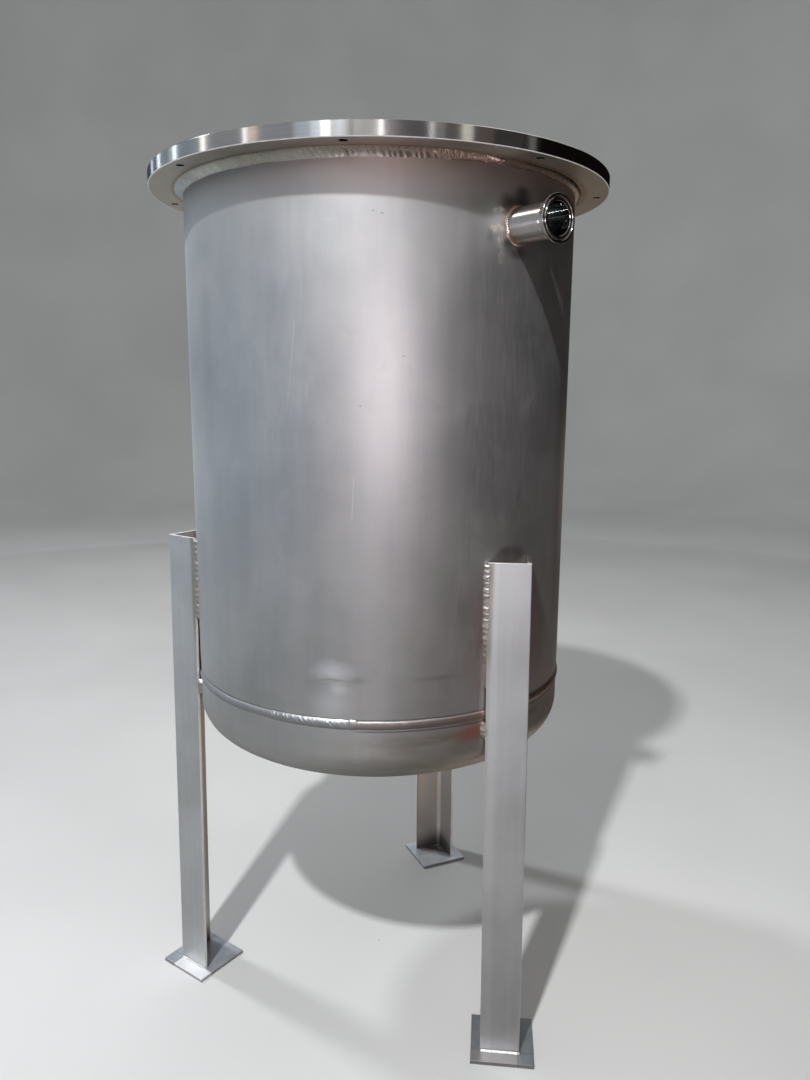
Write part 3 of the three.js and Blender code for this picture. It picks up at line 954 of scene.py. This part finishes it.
def girth_weld():
    """Butt bead between shell and bottom, left as welded, with one stretch welded over again."""
    half, rise, inner_half, inner_rise = 5.2 * MM, 2.3 * MM, 4 * MM, 1.1 * MM
    pitch = fitted_pitch(2.6 * MM)
    across, _, crown = across_bead(17)
    turn = circle(2000)
    along = turn * SHELL_RADIUS + 0.5 * MM * wander(turn, 13, range(4, 40, 5))
    rework = stretch_of(turn, REWORK, 10, 3)
    stop = stretch_of(turn, REWORK + 11.4, 0.25, 0.35)
    restart = stretch_of(turn, REWORK + 13, 0.7, 0.6)
    drift = 0.35 * MM * wander(turn, 21, (2, 5, 9, 14)) + 0.5 * MM * restart
    wide = half * (1 + 0.04 * wander(turn, 17, range(3, 50, 6)) + 0.16 * rework + 0.2 * restart)
    lumps = wander(turn, 31, range(40, 120, 11))
    flat = stretch_of(turn, from_camera(16), 21, 6)
    lift = rise * (1 - 0.25 * flat) * crown ** (0.9 - 0.5 * flat) * (1 + 0.05 * lumps)
    lift = lift + 0.05 * MM * crown * scales(along, across, pitch, 2 * MM)
    pitted = wander(turn + 0.01 * across, 37, range(90, 330, 17)) * np.sin(4 * across + 60 * turn)
    ripples = scales(along, across, fitted_pitch(4.3 * MM), 2.5 * MM)
    mottled = 0.15 + 0.12 * ripples + 0.12 * lumps + 0.45 * pitted
    lift = lift + crown * MM * (rework * mottled + 0.3 * restart - 0.5 * stop)
    base = SHELL_RADIUS - 0.55 * MM - EMBED
    root = np.array([base, base, SHELL_INNER + 0.3 * MM, SHELL_INNER + 0.3 * MM]) + 0 * turn
    root_height = np.array([half * 0.6, 1.4 * MM, 1.4 * MM, inner_half * 0.6]) + 0 * turn
    inside, _, crown_in = across_bead(7)
    inside = -inside
    lift_in = inner_rise * crown_in ** 0.6 + 0.12 * MM * crown_in * scales(along, inside, pitch, 2 * MM)
    radius_in = SHELL_INNER - 0.3 * MM - lift_in
    radius = np.hstack([base + EMBED + lift, root, radius_in, root[:, ::-1]])
    offsets = [drift + across * wide, root_height, inside * inner_half + 0 * turn, -root_height[:, ::-1]]
    return revolved(turn, radius, GIRTH_HEIGHT + np.hstack(offsets))


def seal_weld():
    """Small bead on the shell's top edge, inside the flange's bore."""
    start = SHELL_INNER + 0.2 * MM, SHELL_TOP
    end = SHELL_RADIUS + 0.4 * MM, FLANGE_TOP - 0.3 * MM
    across, share, crown = across_bead(7)
    turn = circle(1500)
    along = turn * SHELL_RADIUS + 0.4 * MM * wander(turn, 43, range(4, 36, 5))
    lift = 0.3 * MM * crown + 0.2 * MM * crown * scales(along, across, fitted_pitch(2.4 * MM), 1.5 * MM)
    radius = start[0] + share * (end[0] - start[0]) - lift * 0.6
    height = start[1] + share * (end[1] - start[1]) + lift * 0.4
    back = 0 * turn + end[0], 0 * turn + SHELL_TOP - 0.3 * MM
    return revolved(turn, np.hstack([radius, back[0]]), np.hstack([height, back[1]]))


# Nozzle, made along +Z and turned to point to -Y

TO_NOZZLE = Matrix.Translation((0, 0, NOZZLE_HEIGHT)) @ Matrix.Rotation(math.radians(90), 4, "X")


def nozzle_tube():
    lip = 0.15 * MM
    outside = [(TUBE_RADIUS, h) for h in np.linspace(TUBE_START, TUBE_END - lip, 24)]
    inside = [(TUBE_BORE, h) for h in np.linspace(TUBE_END, TUBE_START, 24)]
    return moved(lathe(outside + [(TUBE_RADIUS - lip, TUBE_END)] + inside, 128), TO_NOZZLE)


def nozzle_ferrule():
    """Clamp end: a bead where it joins the tube, a tapered rim, and a gasket groove in its face."""
    start = TUBE_END + 0.05 * MM
    rim, edge = 2.85 * MM, 0.5 * MM
    back = FERRULE_FACE - rim
    slope = (FERRULE_RADIUS - TUBE_RADIUS) * math.tan(math.radians(20))
    inner, outer, deep = 20.4 * MM, 23.1 * MM, 1.5 * MM
    joint = arc(TUBE_RADIUS - 0.35 * MM, start + 0.9 * MM, 0.9 * MM, -65, 65, 8)
    neck = arc(TUBE_RADIUS + 1.6 * MM, back - slope - 1.3 * MM, 1.6 * MM, 180, 110, 6)
    round_back = arc(FERRULE_RADIUS - edge, back + edge, edge, -70, 0, 4)
    round_face = arc(FERRULE_RADIUS - edge, FERRULE_FACE - edge, edge, 0, 90, 4)
    groove = arc((inner + outer) / 2, FERRULE_FACE, deep, 0, -180, 12)
    mouth = [(TUBE_BORE + 0.4 * MM, FERRULE_FACE), (TUBE_BORE, FERRULE_FACE - 0.4 * MM)]
    bore = [(TUBE_BORE, h) for h in np.linspace(FERRULE_FACE - 1 * MM, start, 8)]
    profile = joint + neck + round_back + round_face + groove + mouth + bore
    return moved(lathe(profile, 160), TO_NOZZLE)


def nozzle_weld():
    """Fillet along the saddle line where the tube meets the shell."""
    leg, ripples = 3.6 * MM, 70
    turn = circle(520)
    across, share, crown = across_bead(9)
    pitch = 2 * math.pi * TUBE_RADIUS / ripples
    size = leg * (1 + 0.05 * wander(turn, 51, (2, 3, 7, 11)))
    lift = crown ** 0.7 * MM * (0.35 + 0.16 * scales(turn * TUBE_RADIUS, across, pitch, 1.0 * MM))
    away = np.hstack([TUBE_RADIUS - EMBED + share * size + lift * 0.7, 0 * turn + TUBE_RADIUS - EMBED])
    out = np.hstack([(1 - share) * size + lift * 0.7 - EMBED, 0 * turn - 0.3 * MM])
    x = away * np.cos(turn)
    z = NOZZLE_HEIGHT + away * np.sin(turn)
    y = -np.sqrt(SHELL_RADIUS ** 2 - x ** 2) - out
    return loft(np.stack([x, y, z], axis=2), loop=True)


# Legs, each made at -Y and turned about the axis

SLANT = math.sqrt(0.5)
HEEL = 1.2 * MM  # radius of the angle's outer corner


def heel_radius(height):
    toe_aside = (LEG_WIDTH - LEG_SHEET) * SLANT
    toe_out = math.sqrt((SHELL_RADIUS + 0.5 * MM) ** 2 - toe_aside ** 2)
    return toe_out + (LEG_WIDTH + LEG_SHEET) * SLANT + LEG_SPLAY * (LEG_TOP - height)


def on_leg(u, v, height):
    """A place in a leg's section, u and v along its two sheets from the heel, at a height."""
    return np.array([(u - v) * SLANT, (u + v) * SLANT - heel_radius(height), height])


def leg_turn(number):
    return Matrix.Rotation(math.radians(LEG_ANGLES[number]), 4, "Z")


def corner(centre, radius, steps):
    """A quarter round in the section, from the first sheet to the second."""
    turn = np.radians(np.linspace(-90, -180, steps + 1))
    return [(centre + radius * math.cos(t), centre + radius * math.sin(t)) for t in turn]


def leg(number):
    fillet = 5 * MM
    outline = [(LEG_WIDTH, 0.0)] + corner(HEEL, HEEL, 8) + [(0.0, LEG_WIDTH), (LEG_SHEET, LEG_WIDTH)]
    outline += corner(LEG_SHEET + fillet, fillet, 8)[::-1] + [(LEG_WIDTH, LEG_SHEET)]
    heights = np.linspace(PLATE_TOP + 0.1 * MM, LEG_TOP, 40)
    sections = np.array([[on_leg(u, v, h) for u, v in outline] for h in heights])
    return moved(loft(sections), leg_turn(number))


LEG_TAIL = 42 * MM  # how far a thin run goes on below the weld at leg 1's left toe


def soften(made, width):
    """Rounds a piece's edges a little, as deburring does."""
    bevel = made.modifiers.new("edges", "BEVEL")
    bevel.width = width
    bevel.segments = 2
    bevel.limit_method = "ANGLE"
    bevel.angle_limit = math.radians(40)
    bevel.harden_normals = True


def leg_side(side, along, across, height):
    return on_leg(along, across, height) if side > 0 else on_leg(across, along, height)


def foot_plate(number):
    """Square plate with its corner outwards, its edges divided so that they can be cut a little uneven."""
    cells = 12
    side = np.linspace(-0.5, 0.5, cells + 1) * PLATE_SIDE
    edge = [(side[k], side[0]) for k in range(cells)]
    ring = edge + [(-y, x) for x, y in edge] + [(-x, -y) for x, y in edge] + [(y, -x) for x, y in edge]
    jitter = np.random.default_rng(70 + number).uniform(0, 0.25 * MM, len(ring))
    jitter[::cells] = 0.0
    scale = 1 - jitter / (PLATE_SIDE / 2)
    points = [(x * s, y * s, height) for height in (0.0, PLATE_TOP) for (x, y), s in zip(ring, scale)]
    low = list(range(len(ring)))
    high = [k + len(ring) for k in low]
    faces = bridged(low, high) + [tuple(low)[::-1], tuple(high)]
    place = Matrix.Translation((0, -PLATE_CENTRE, 0)) @ Matrix.Rotation(math.radians(45), 4, "Z")
    return moved((points, faces), leg_turn(number) @ place)


def foot_weld(number):
    """Bead round the outside of a leg on its plate, over both sheets and the heel, small on leg 3."""
    low, step = PLATE_TOP - 0.1 * MM, 0.45 * MM
    size = 1.6 * MM if number == 3 else 2.4 * MM
    path = [(LEG_WIDTH - k, 0.0, 0.0, -1.0) for k in np.arange(0, LEG_WIDTH - HEEL, step)]
    for t in np.radians(np.arange(-90, -180.1, -5)):
        path.append((HEEL * (1 + math.cos(t)), HEEL * (1 + math.sin(t)), math.cos(t), math.sin(t)))
    path += [(0.0, k, -1.0, 0.0) for k in np.arange(HEEL, LEG_WIDTH, step)]
    phase = np.random.default_rng(80 + number).uniform(0, 1)
    across, share, crown = across_bead(8)
    travelled = np.cumsum([0.0] + [math.hypot(b[0] - a[0], b[1] - a[1]) for a, b in zip(path, path[1:])])
    sections = []
    for (u, v, out_u, out_v), along in zip(path, travelled):
        taper = taper_at(min(along, travelled[-1] - along), 3 * MM)
        lump = 1 + 0.07 * math.sin(along * 410 + 9 * phase) + 0.05 * math.sin(along * 930 + 4 * phase)
        ripple = scales(np.array(along + phase * MM), across, 3.3 * MM, 1.4 * MM)
        lift = crown ** 0.7 * MM * (0.25 + 0.45 * ripple) * taper * size / (3 * MM)
        out = share * size * lump * taper + lift * 0.7 - 0.2 * MM
        up = (1 - share) * size * 0.8 * lump * taper + lift * 0.7
        ring = [on_leg(u + out_u * o, v + out_v * o, low + h) for o, h in zip(out, up)]
        ring.append(on_leg(u - out_u * 0.2 * MM, v - out_v * 0.2 * MM, low))
        sections.append(ring)
    return moved(loft(np.array(sections)), leg_turn(number))


def toe_weld(number, side, low, high, bold, thin_below):
    """Bead in the groove between a sheet's end and the shell, thinner below a height."""
    count = int((high - low) / (0.4 * MM)) + 1
    seed = int(90 + number * 7 + (side > 0) * 3 + low * 100)
    phase = np.random.default_rng(seed).uniform(0, 6)
    across, share, crown = across_bead(13)
    rounding = 3 * MM if high - low > 40 * MM else 8 * MM
    sections = []
    for height in np.linspace(low, high, count):
        taper = taper_at(min(height - low, high - height), rounding)
        strength = min(max((height - thin_below) / (40 * MM), 0.0), 1.0)
        uneven = 0.10 + 0.15 * (1 - strength)
        lump = 1 + uneven * (math.sin(height * 330 + phase) + 0.7 * math.sin(height * 870 + 2 * phase))
        reach = taper * lump * (0.32 + 0.68 * strength)
        start = leg_side(side, LEG_WIDTH - 2.2 * MM * reach, 0.15 * MM, height)
        root = leg_side(side, LEG_WIDTH + 0.6 * MM, 3.2 * MM, height)
        foot = math.atan2(root[0], -root[1]) + side * 4.6 * MM * reach / SHELL_RADIUS
        end = np.array(at(foot, SHELL_RADIUS - 0.2 * MM, height))
        out = (start + end) / 2 * (1, 1, 0)
        out /= np.linalg.norm(out)
        downwards = np.array(-height + (phase + 1.2 * math.sin(height * 190)) * MM)
        ripple = scales(downwards, across, 4.2 * MM, 2.4 * MM)
        fine = scales(np.array(-height), across, 1.7 * MM, 1.2 * MM)
        lift = crown ** 0.7 * MM * reach * (0.75 + bold * strength * 0.75 * ripple + 0.16 * fine)
        ring = [start * (1 - s) + end * s + out * h for s, h in zip(share, lift)]
        sections.append(ring + [root])
    return moved(loft(np.array(sections)), leg_turn(number))


# Everything is put together

def weld_materials():
    pale, pink, rosy, brown, olive = ((0.50, 0.48, 0.42), (0.62, 0.56, 0.52), (0.62, 0.52, 0.48),
                                      (0.50, 0.38, 0.32), (0.48, 0.42, 0.33))
    white, grit, gold, steel, bright = ((0.39, 0.40, 0.405), (0.36, 0.33, 0.31), (0.72, 0.58, 0.49),
                                        (0.46, 0.43, 0.40), (0.70, 0.69, 0.68))
    under_flange = (-35, pale), (-12, pink), (8, rosy), (28, brown), (44, olive)
    girth = (-9, white), (-5, grit), (14, grit), (30, brown)
    return {
        "flange": weld_material("weld_flange", under_flange, 0.28),
        "girth": weld_material("weld_girth", girth, 0.46, GIRTH_HEIGHT),
        "nozzle": weld_material("weld_nozzle", [(0, gold)], 0.2),
        "leg": weld_material("weld_leg", [(0, steel)], 0.44),
        "foot": weld_material("weld_foot", [(0, bright)], 0.4),
    }


def flange_part(face):
    """The number of a flange face's material: rim and top, underside, lower chamfer or bolt hole."""
    away = math.hypot(face.center.x, face.center.y)
    if face.normal.z < -0.9:
        return 1
    # Bolt holes get the bore's material, painted dark as shade
    if SHELL_RADIUS + 5 * MM < away < FLANGE_RADIUS - 5 * MM and face.normal.z < 0.5:
        return 3
    # The lower chamfer gets the pale material painted as a highlight
    return 2 if face.normal.z < -0.5 else 0


def in_bore(face):
    away = math.hypot(face.center.x, face.center.z - NOZZLE_HEIGHT)
    return int(away < TUBE_BORE + 0.05 * MM and abs(face.normal.y) < 0.5)


def add_vessel(welds):
    sheet, bore = [sheet_material()], bore_material()
    finishes = [turned_material(), matt_flange_material(), worn_material(), bore]
    brushed = polished_material("brushed_tube", 0.33, 1.0)
    polished = polished_material("polished_clamp", 0.15, 0.9)
    piece("shell", shell(), sheet, "shell_wall")
    piece("dish", dish(), sheet, "bottom_dish")
    piece("flange", flange(), finishes, "flange_ring", flange_part)
    bead("weld_under_flange", flange_weld(), welds["flange"], "flange_weld")
    bead("weld_girth", girth_weld(), welds["girth"], "girth_weld")
    bead("weld_top_edge", seal_weld(), welds["girth"], "seal_weld")
    piece("tube", nozzle_tube(), [brushed, bore], "nozzle_tube", in_bore)
    piece("ferrule", nozzle_ferrule(), [polished, bore], "nozzle_ferrule", in_bore)
    bead("weld_nozzle", nozzle_weld(), welds["nozzle"], "nozzle_weld")


def leg_part(face):
    """The number of a leg face's material: outside, cut edge, inside or inner corner.

    A leg's section has 22 points. The sides from points 10 and 21 end the sheets, and those from 12 to 19
    fill the inner corner.
    """
    side = face.index % 22
    if side in (10, 21) or face.normal.z > 0.9:
        return 1
    if 12 <= side <= 19:
        return 3
    return 2 if side > 10 else 0


def add_legs(welds):
    # The inside is a lighter, warmer copy of the leg steel painted as light, the inner corner a pale copy
    # painted as a highlight
    finishes = [leg_material("leg_steel", 0.53, -0.02), cut_edge_material(),
                leg_material("leg_inside_painted_light", 0.61, 0.05, 0.8), leg_material("leg_fillet_painted_highlight", 0.92, 0.03, 0.8)]
    plate = [plate_material()]
    for number in LEG_ANGLES:
        made = piece(f"angle_{number}", leg(number), finishes, f"leg_{number}", leg_part)
        soften(made, 0.35 * MM)
        foot = piece(f"plate_{number}", foot_plate(number), plate, f"foot_plate_{number}")
        soften(foot, 0.3 * MM)
        bead(f"weld_foot_{number}", foot_weld(number), welds["foot"], f"foot_weld_{number}")
        for side, word in ((1, "right"), (-1, "left")):
            bold = 0.3 if (number, word) == (3, "right") else 1.0
            for place in ("upper", "lower"):
                node = f"leg_{number}_weld_{word}_{place}"
                low, high = (end.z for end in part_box(node))
                tail, thin_below = 0.0, 0.0
                if (number, word, place) == (1, "left", "upper"):
                    tail, thin_below = LEG_TAIL, low - 12 * MM
                mesh = toe_weld(number, side, low - tail, high, bold, thin_below)
                bead(f"weld_{number}_{word}_{place}", mesh, welds["leg"], node)


# Studio

def plain_material(name, colour, roughness):
    g = Graph(name, Roughness=roughness)
    speckle = g.noise(40.0, detail=4.0)
    broad = g.noise(1.5, detail=2.0)
    tone = g.mix(broad.ramp(0.3, 0.7), tuple(0.93 * c for c in colour), colour)
    return g.use(Base_Color=tone, Normal=g.bump(speckle, 0.2 * MM))


def staged(name, mesh, material):
    points, faces = mesh
    data = bpy.data.meshes.new(name)
    data.from_pydata([tuple(p) for p in points], [], faces)
    data.materials.append(material)
    data.shade_smooth()
    made = linked(name, data)
    return made


def turned_sheet(profile, start=0.0, end=360.0, steps=96):
    """An open sheet: a line of (radius, height) points turned from one azimuth to another."""
    turns = np.radians(np.linspace(start, end, steps + 1))
    points = [at(t, r, h) for t in turns for r, h in profile]
    size = len(profile)
    faces = [(i * size + j, (i + 1) * size + j, (i + 1) * size + j + 1, i * size + j + 1)
             for i in range(steps) for j in range(size - 1)]
    return points, faces


def only_reflected(made):
    """Hides a staged thing from everything but the steel's reflections."""
    made.visible_camera = False
    made.visible_diffuse = False
    made.visible_shadow = False
    made.visible_transmission = False


def add_floor():
    """Pale floor that curves up into a pale wall all round. The steel sees a darker floor instead."""
    flat, wall, bend_radius = 4.6, 6.4, 1.8
    profile = [(0.001, 0.0), (0.6, 0.0), (1.5, 0.0), (3.0, 0.0)]
    profile += arc(flat, bend_radius, bend_radius, -90, 0, 16) + [(wall, 3.2), (wall, 5.5)]
    staged("floor", turned_sheet(profile), plain_material("pale_floor", (0.55, 0.55, 0.54), 0.6))
    card = [(0.001, 1 * MM), (0.6, 1 * MM), (3.5, 1 * MM)]
    only_reflected(staged("floor_card", turned_sheet(card), floor_card_material()))


# Patches on the floor that the steel sees: azimuth from the camera's side, distance, radius, colour
FLOOR_PATCHES = ((55, 0.62, 0.24, (0.07, 0.045, 0.035)), (84, 0.44, 0.36, (0.85, 0.72, 0.60)),
                 (-152, 0.72, 0.36, (0.80, 0.78, 0.74)), (165, 1.6, 0.90, (0.45, 0.38, 0.31)),
                 (-118, 2.3, 1.1, (0.50, 0.55, 0.57)))


def floor_card_material():
    """Dark floor, lighter to the camera's left, brown to its right, with round patches on it."""
    g = Graph("dark_floor_card", Roughness=0.8)
    aside, _ = g.turned(CAMERA_AZIMUTH)
    cloudy = g.noise(5.0, detail=4.0, roughness=0.6).ramp(0.4, 0.6)
    left = g.mix(cloudy, (0.13, 0.13, 0.12), (0.30, 0.30, 0.29))
    right = g.mix(cloudy, (0.052, 0.039, 0.031), (0.12, 0.09, 0.076))
    colour = g.mix(aside.ramp(-0.35, 0.45), left, right)
    for azimuth, distance, size, tint in FLOOR_PATCHES:
        middle = around(from_camera(azimuth), distance)
        off_x, off_y = g.x - middle.x, g.y - middle.y
        off = off_x * off_x + off_y * off_y
        colour = g.mix(off.ramp(0.2 * size ** 2, size ** 2, 0.9, 0.0), colour, tint)
    return g.use(Base_Color=colour)


def glowing(name, colour, strength):
    return Graph(name, "Emission", Color=colour, Strength=strength).material


def panel(name, start, end, low, high, colour, strength=1.0, radius=3.6):
    """A curved reflector that only shows in the steel. Its azimuths count from the camera's side."""
    mesh = turned_sheet([(radius, low), (radius, high)], from_camera(start), from_camera(end), 24)
    only_reflected(staged(name, mesh, glowing(name, colour, strength)))


def area_light(name, azimuth, elevation, distance, size, power, colour):
    """A square lamp aimed at the tank's middle. Its azimuth counts from the camera's side."""
    aim = Vector((0.0, 0.0, 0.85))
    rise = math.radians(elevation)
    away = Vector(at(seen(azimuth), math.cos(rise), math.sin(rise)))
    data = bpy.data.lights.new(name, "AREA")
    data.size = size
    data.energy = power
    data.color = colour
    lamp = linked(name, data)
    lamp.location = aim + away * distance
    lamp.rotation_mode = "QUATERNION"
    lamp.rotation_quaternion = away.to_track_quat("Z", "Y")
    lamp.visible_camera = False


def add_world(colour, strength):
    world = bpy.data.worlds.new("soft_sky")
    world.use_nodes = True
    background = world.node_tree.nodes["Background"]
    background.inputs["Color"].default_value = (*colour, 1.0)
    background.inputs["Strength"].default_value = strength
    bpy.context.scene.world = world


WHITE = (1.0, 0.99, 0.97)
COOL = (0.80, 0.90, 1.0)
GOLD = (1.0, 0.97, 0.86)
TAN = (1.0, 0.78, 0.66)
WALL_SPLIT = 1.65  # above it the panels show in the rim, below it in the shell

# Walls of light round the tank: where each starts and ends in degrees from the camera's side, and a colour
LOW_WALLS = ((-166, -100, (0.24, 0.285, 0.33)), (-100, -40, (0.33, 0.40, 0.49)),
             (-40, -14, (0.27, 0.29, 0.33)), (-13, 21, (0.19, 0.18, 0.19)), (21, 49, (0.056, 0.052, 0.050)),
             (49, 74, (0.070, 0.064, 0.064)), (74, 194, (0.006, 0.005, 0.004)))
HIGH_WALLS = ((-166, -141, (0.04, 0.06, 0.08)), (-141, -122, (0.13, 0.15, 0.17)),
              (-122, -84, (0.26, 0.30, 0.34)), (-84, -40, (0.285, 0.29, 0.30)),
              (-40, -14, (0.26, 0.265, 0.28)), (-13, 21, (0.09, 0.086, 0.09)), (21, 49, (0.12, 0.111, 0.108)),
              (49, 66, (0.045, 0.045, 0.042)), (66, 194, (0.0044, 0.0032, 0.0026)))

# Upright strips that the rim reflects: azimuth from the camera's side, width in degrees, strength, colour
RIM_STRIPS = ((-137.5, 3.0, 1.5, COOL), (-125.7, 2.8, 3.0, COOL), (-107.7, 3.6, 2.6, COOL),
              (-112, 2.5, 0.7, COOL), (-85.7, 2.9, 2.8, GOLD), (-61.2, 1.7, 3.0, WHITE),
              (-57.5, 5, 0.95, TAN), (-34, 7, 0.74, COOL), (-28.2, 4, 1.3, COOL),
              (-23.6, 4, 3.0, WHITE), (-18.6, 3.4, 0.42, COOL), (-6, 11, 0.6, WHITE),
              (0.1, 1.8, 3.4, WHITE), (22, 2.6, 1.0, WHITE), (26, 4, 0.3, WHITE),
              (37.8, 5.2, 0.95, GOLD), (47.5, 6, 0.13, TAN), (71, 3.6, 0.24, WHITE))


def add_studio():
    add_floor()
    add_world((0.95, 0.97, 1.0), 0.35)
    area_light("key", -20, 46, 3.4, 0.12, 148, (0.97, 0.98, 1.0))
    area_light("front", 2, 0, 1.5, 0.25, 2.8, (1.0, 0.89, 0.93))
    area_light("side", -122, 44, 3.4, 0.3, 54, (0.93, 0.96, 1.0))
    area_light("back_fill", 150, 50, 3.6, 2.2, 12, (1.0, 0.98, 0.96))
    for start, end, colour in LOW_WALLS:
        panel(f"low_wall_{end}", start, end, 0.0, WALL_SPLIT, colour)
    for start, end, colour in HIGH_WALLS:
        panel(f"high_wall_{end}", start, end, WALL_SPLIT, 4.6, colour)
    for azimuth, width, strength, colour in RIM_STRIPS:
        start, end = azimuth - width / 2, azimuth + width / 2
        panel(f"strip_{azimuth}", start, end, WALL_SPLIT, 3.2, colour, strength, radius=3.3)
    panel("left_ground", -155, -98, 0.0, 0.75, (0.43, 0.50, 0.57), radius=3.5)
    panel("sky_behind", 163, 200, 2.2, 3.0, (0.84, 0.93, 1.0), radius=3.5)
    panel("far_ground_right", 140, 180, 0.0, 0.6, (0.45, 0.38, 0.30), radius=3.5)
    panel("far_ground_left", 180, 205, 0.0, 0.6, (0.80, 0.79, 0.74), radius=3.5)
    sunlit = turned_sheet([(0.95, 2 * MM), (1.7, 2 * MM)], from_camera(-15), from_camera(2), 8)
    only_reflected(staged("sunlit_ground", sunlit, glowing("sunlit_ground", (1.0, 0.94, 0.95), 1.2)))
    view = bpy.context.scene.view_settings
    view.view_transform = "Standard"
    view.look = "None"


add_camera()
weld_kinds = weld_materials()
add_vessel(weld_kinds)
add_legs(weld_kinds)
add_studio()
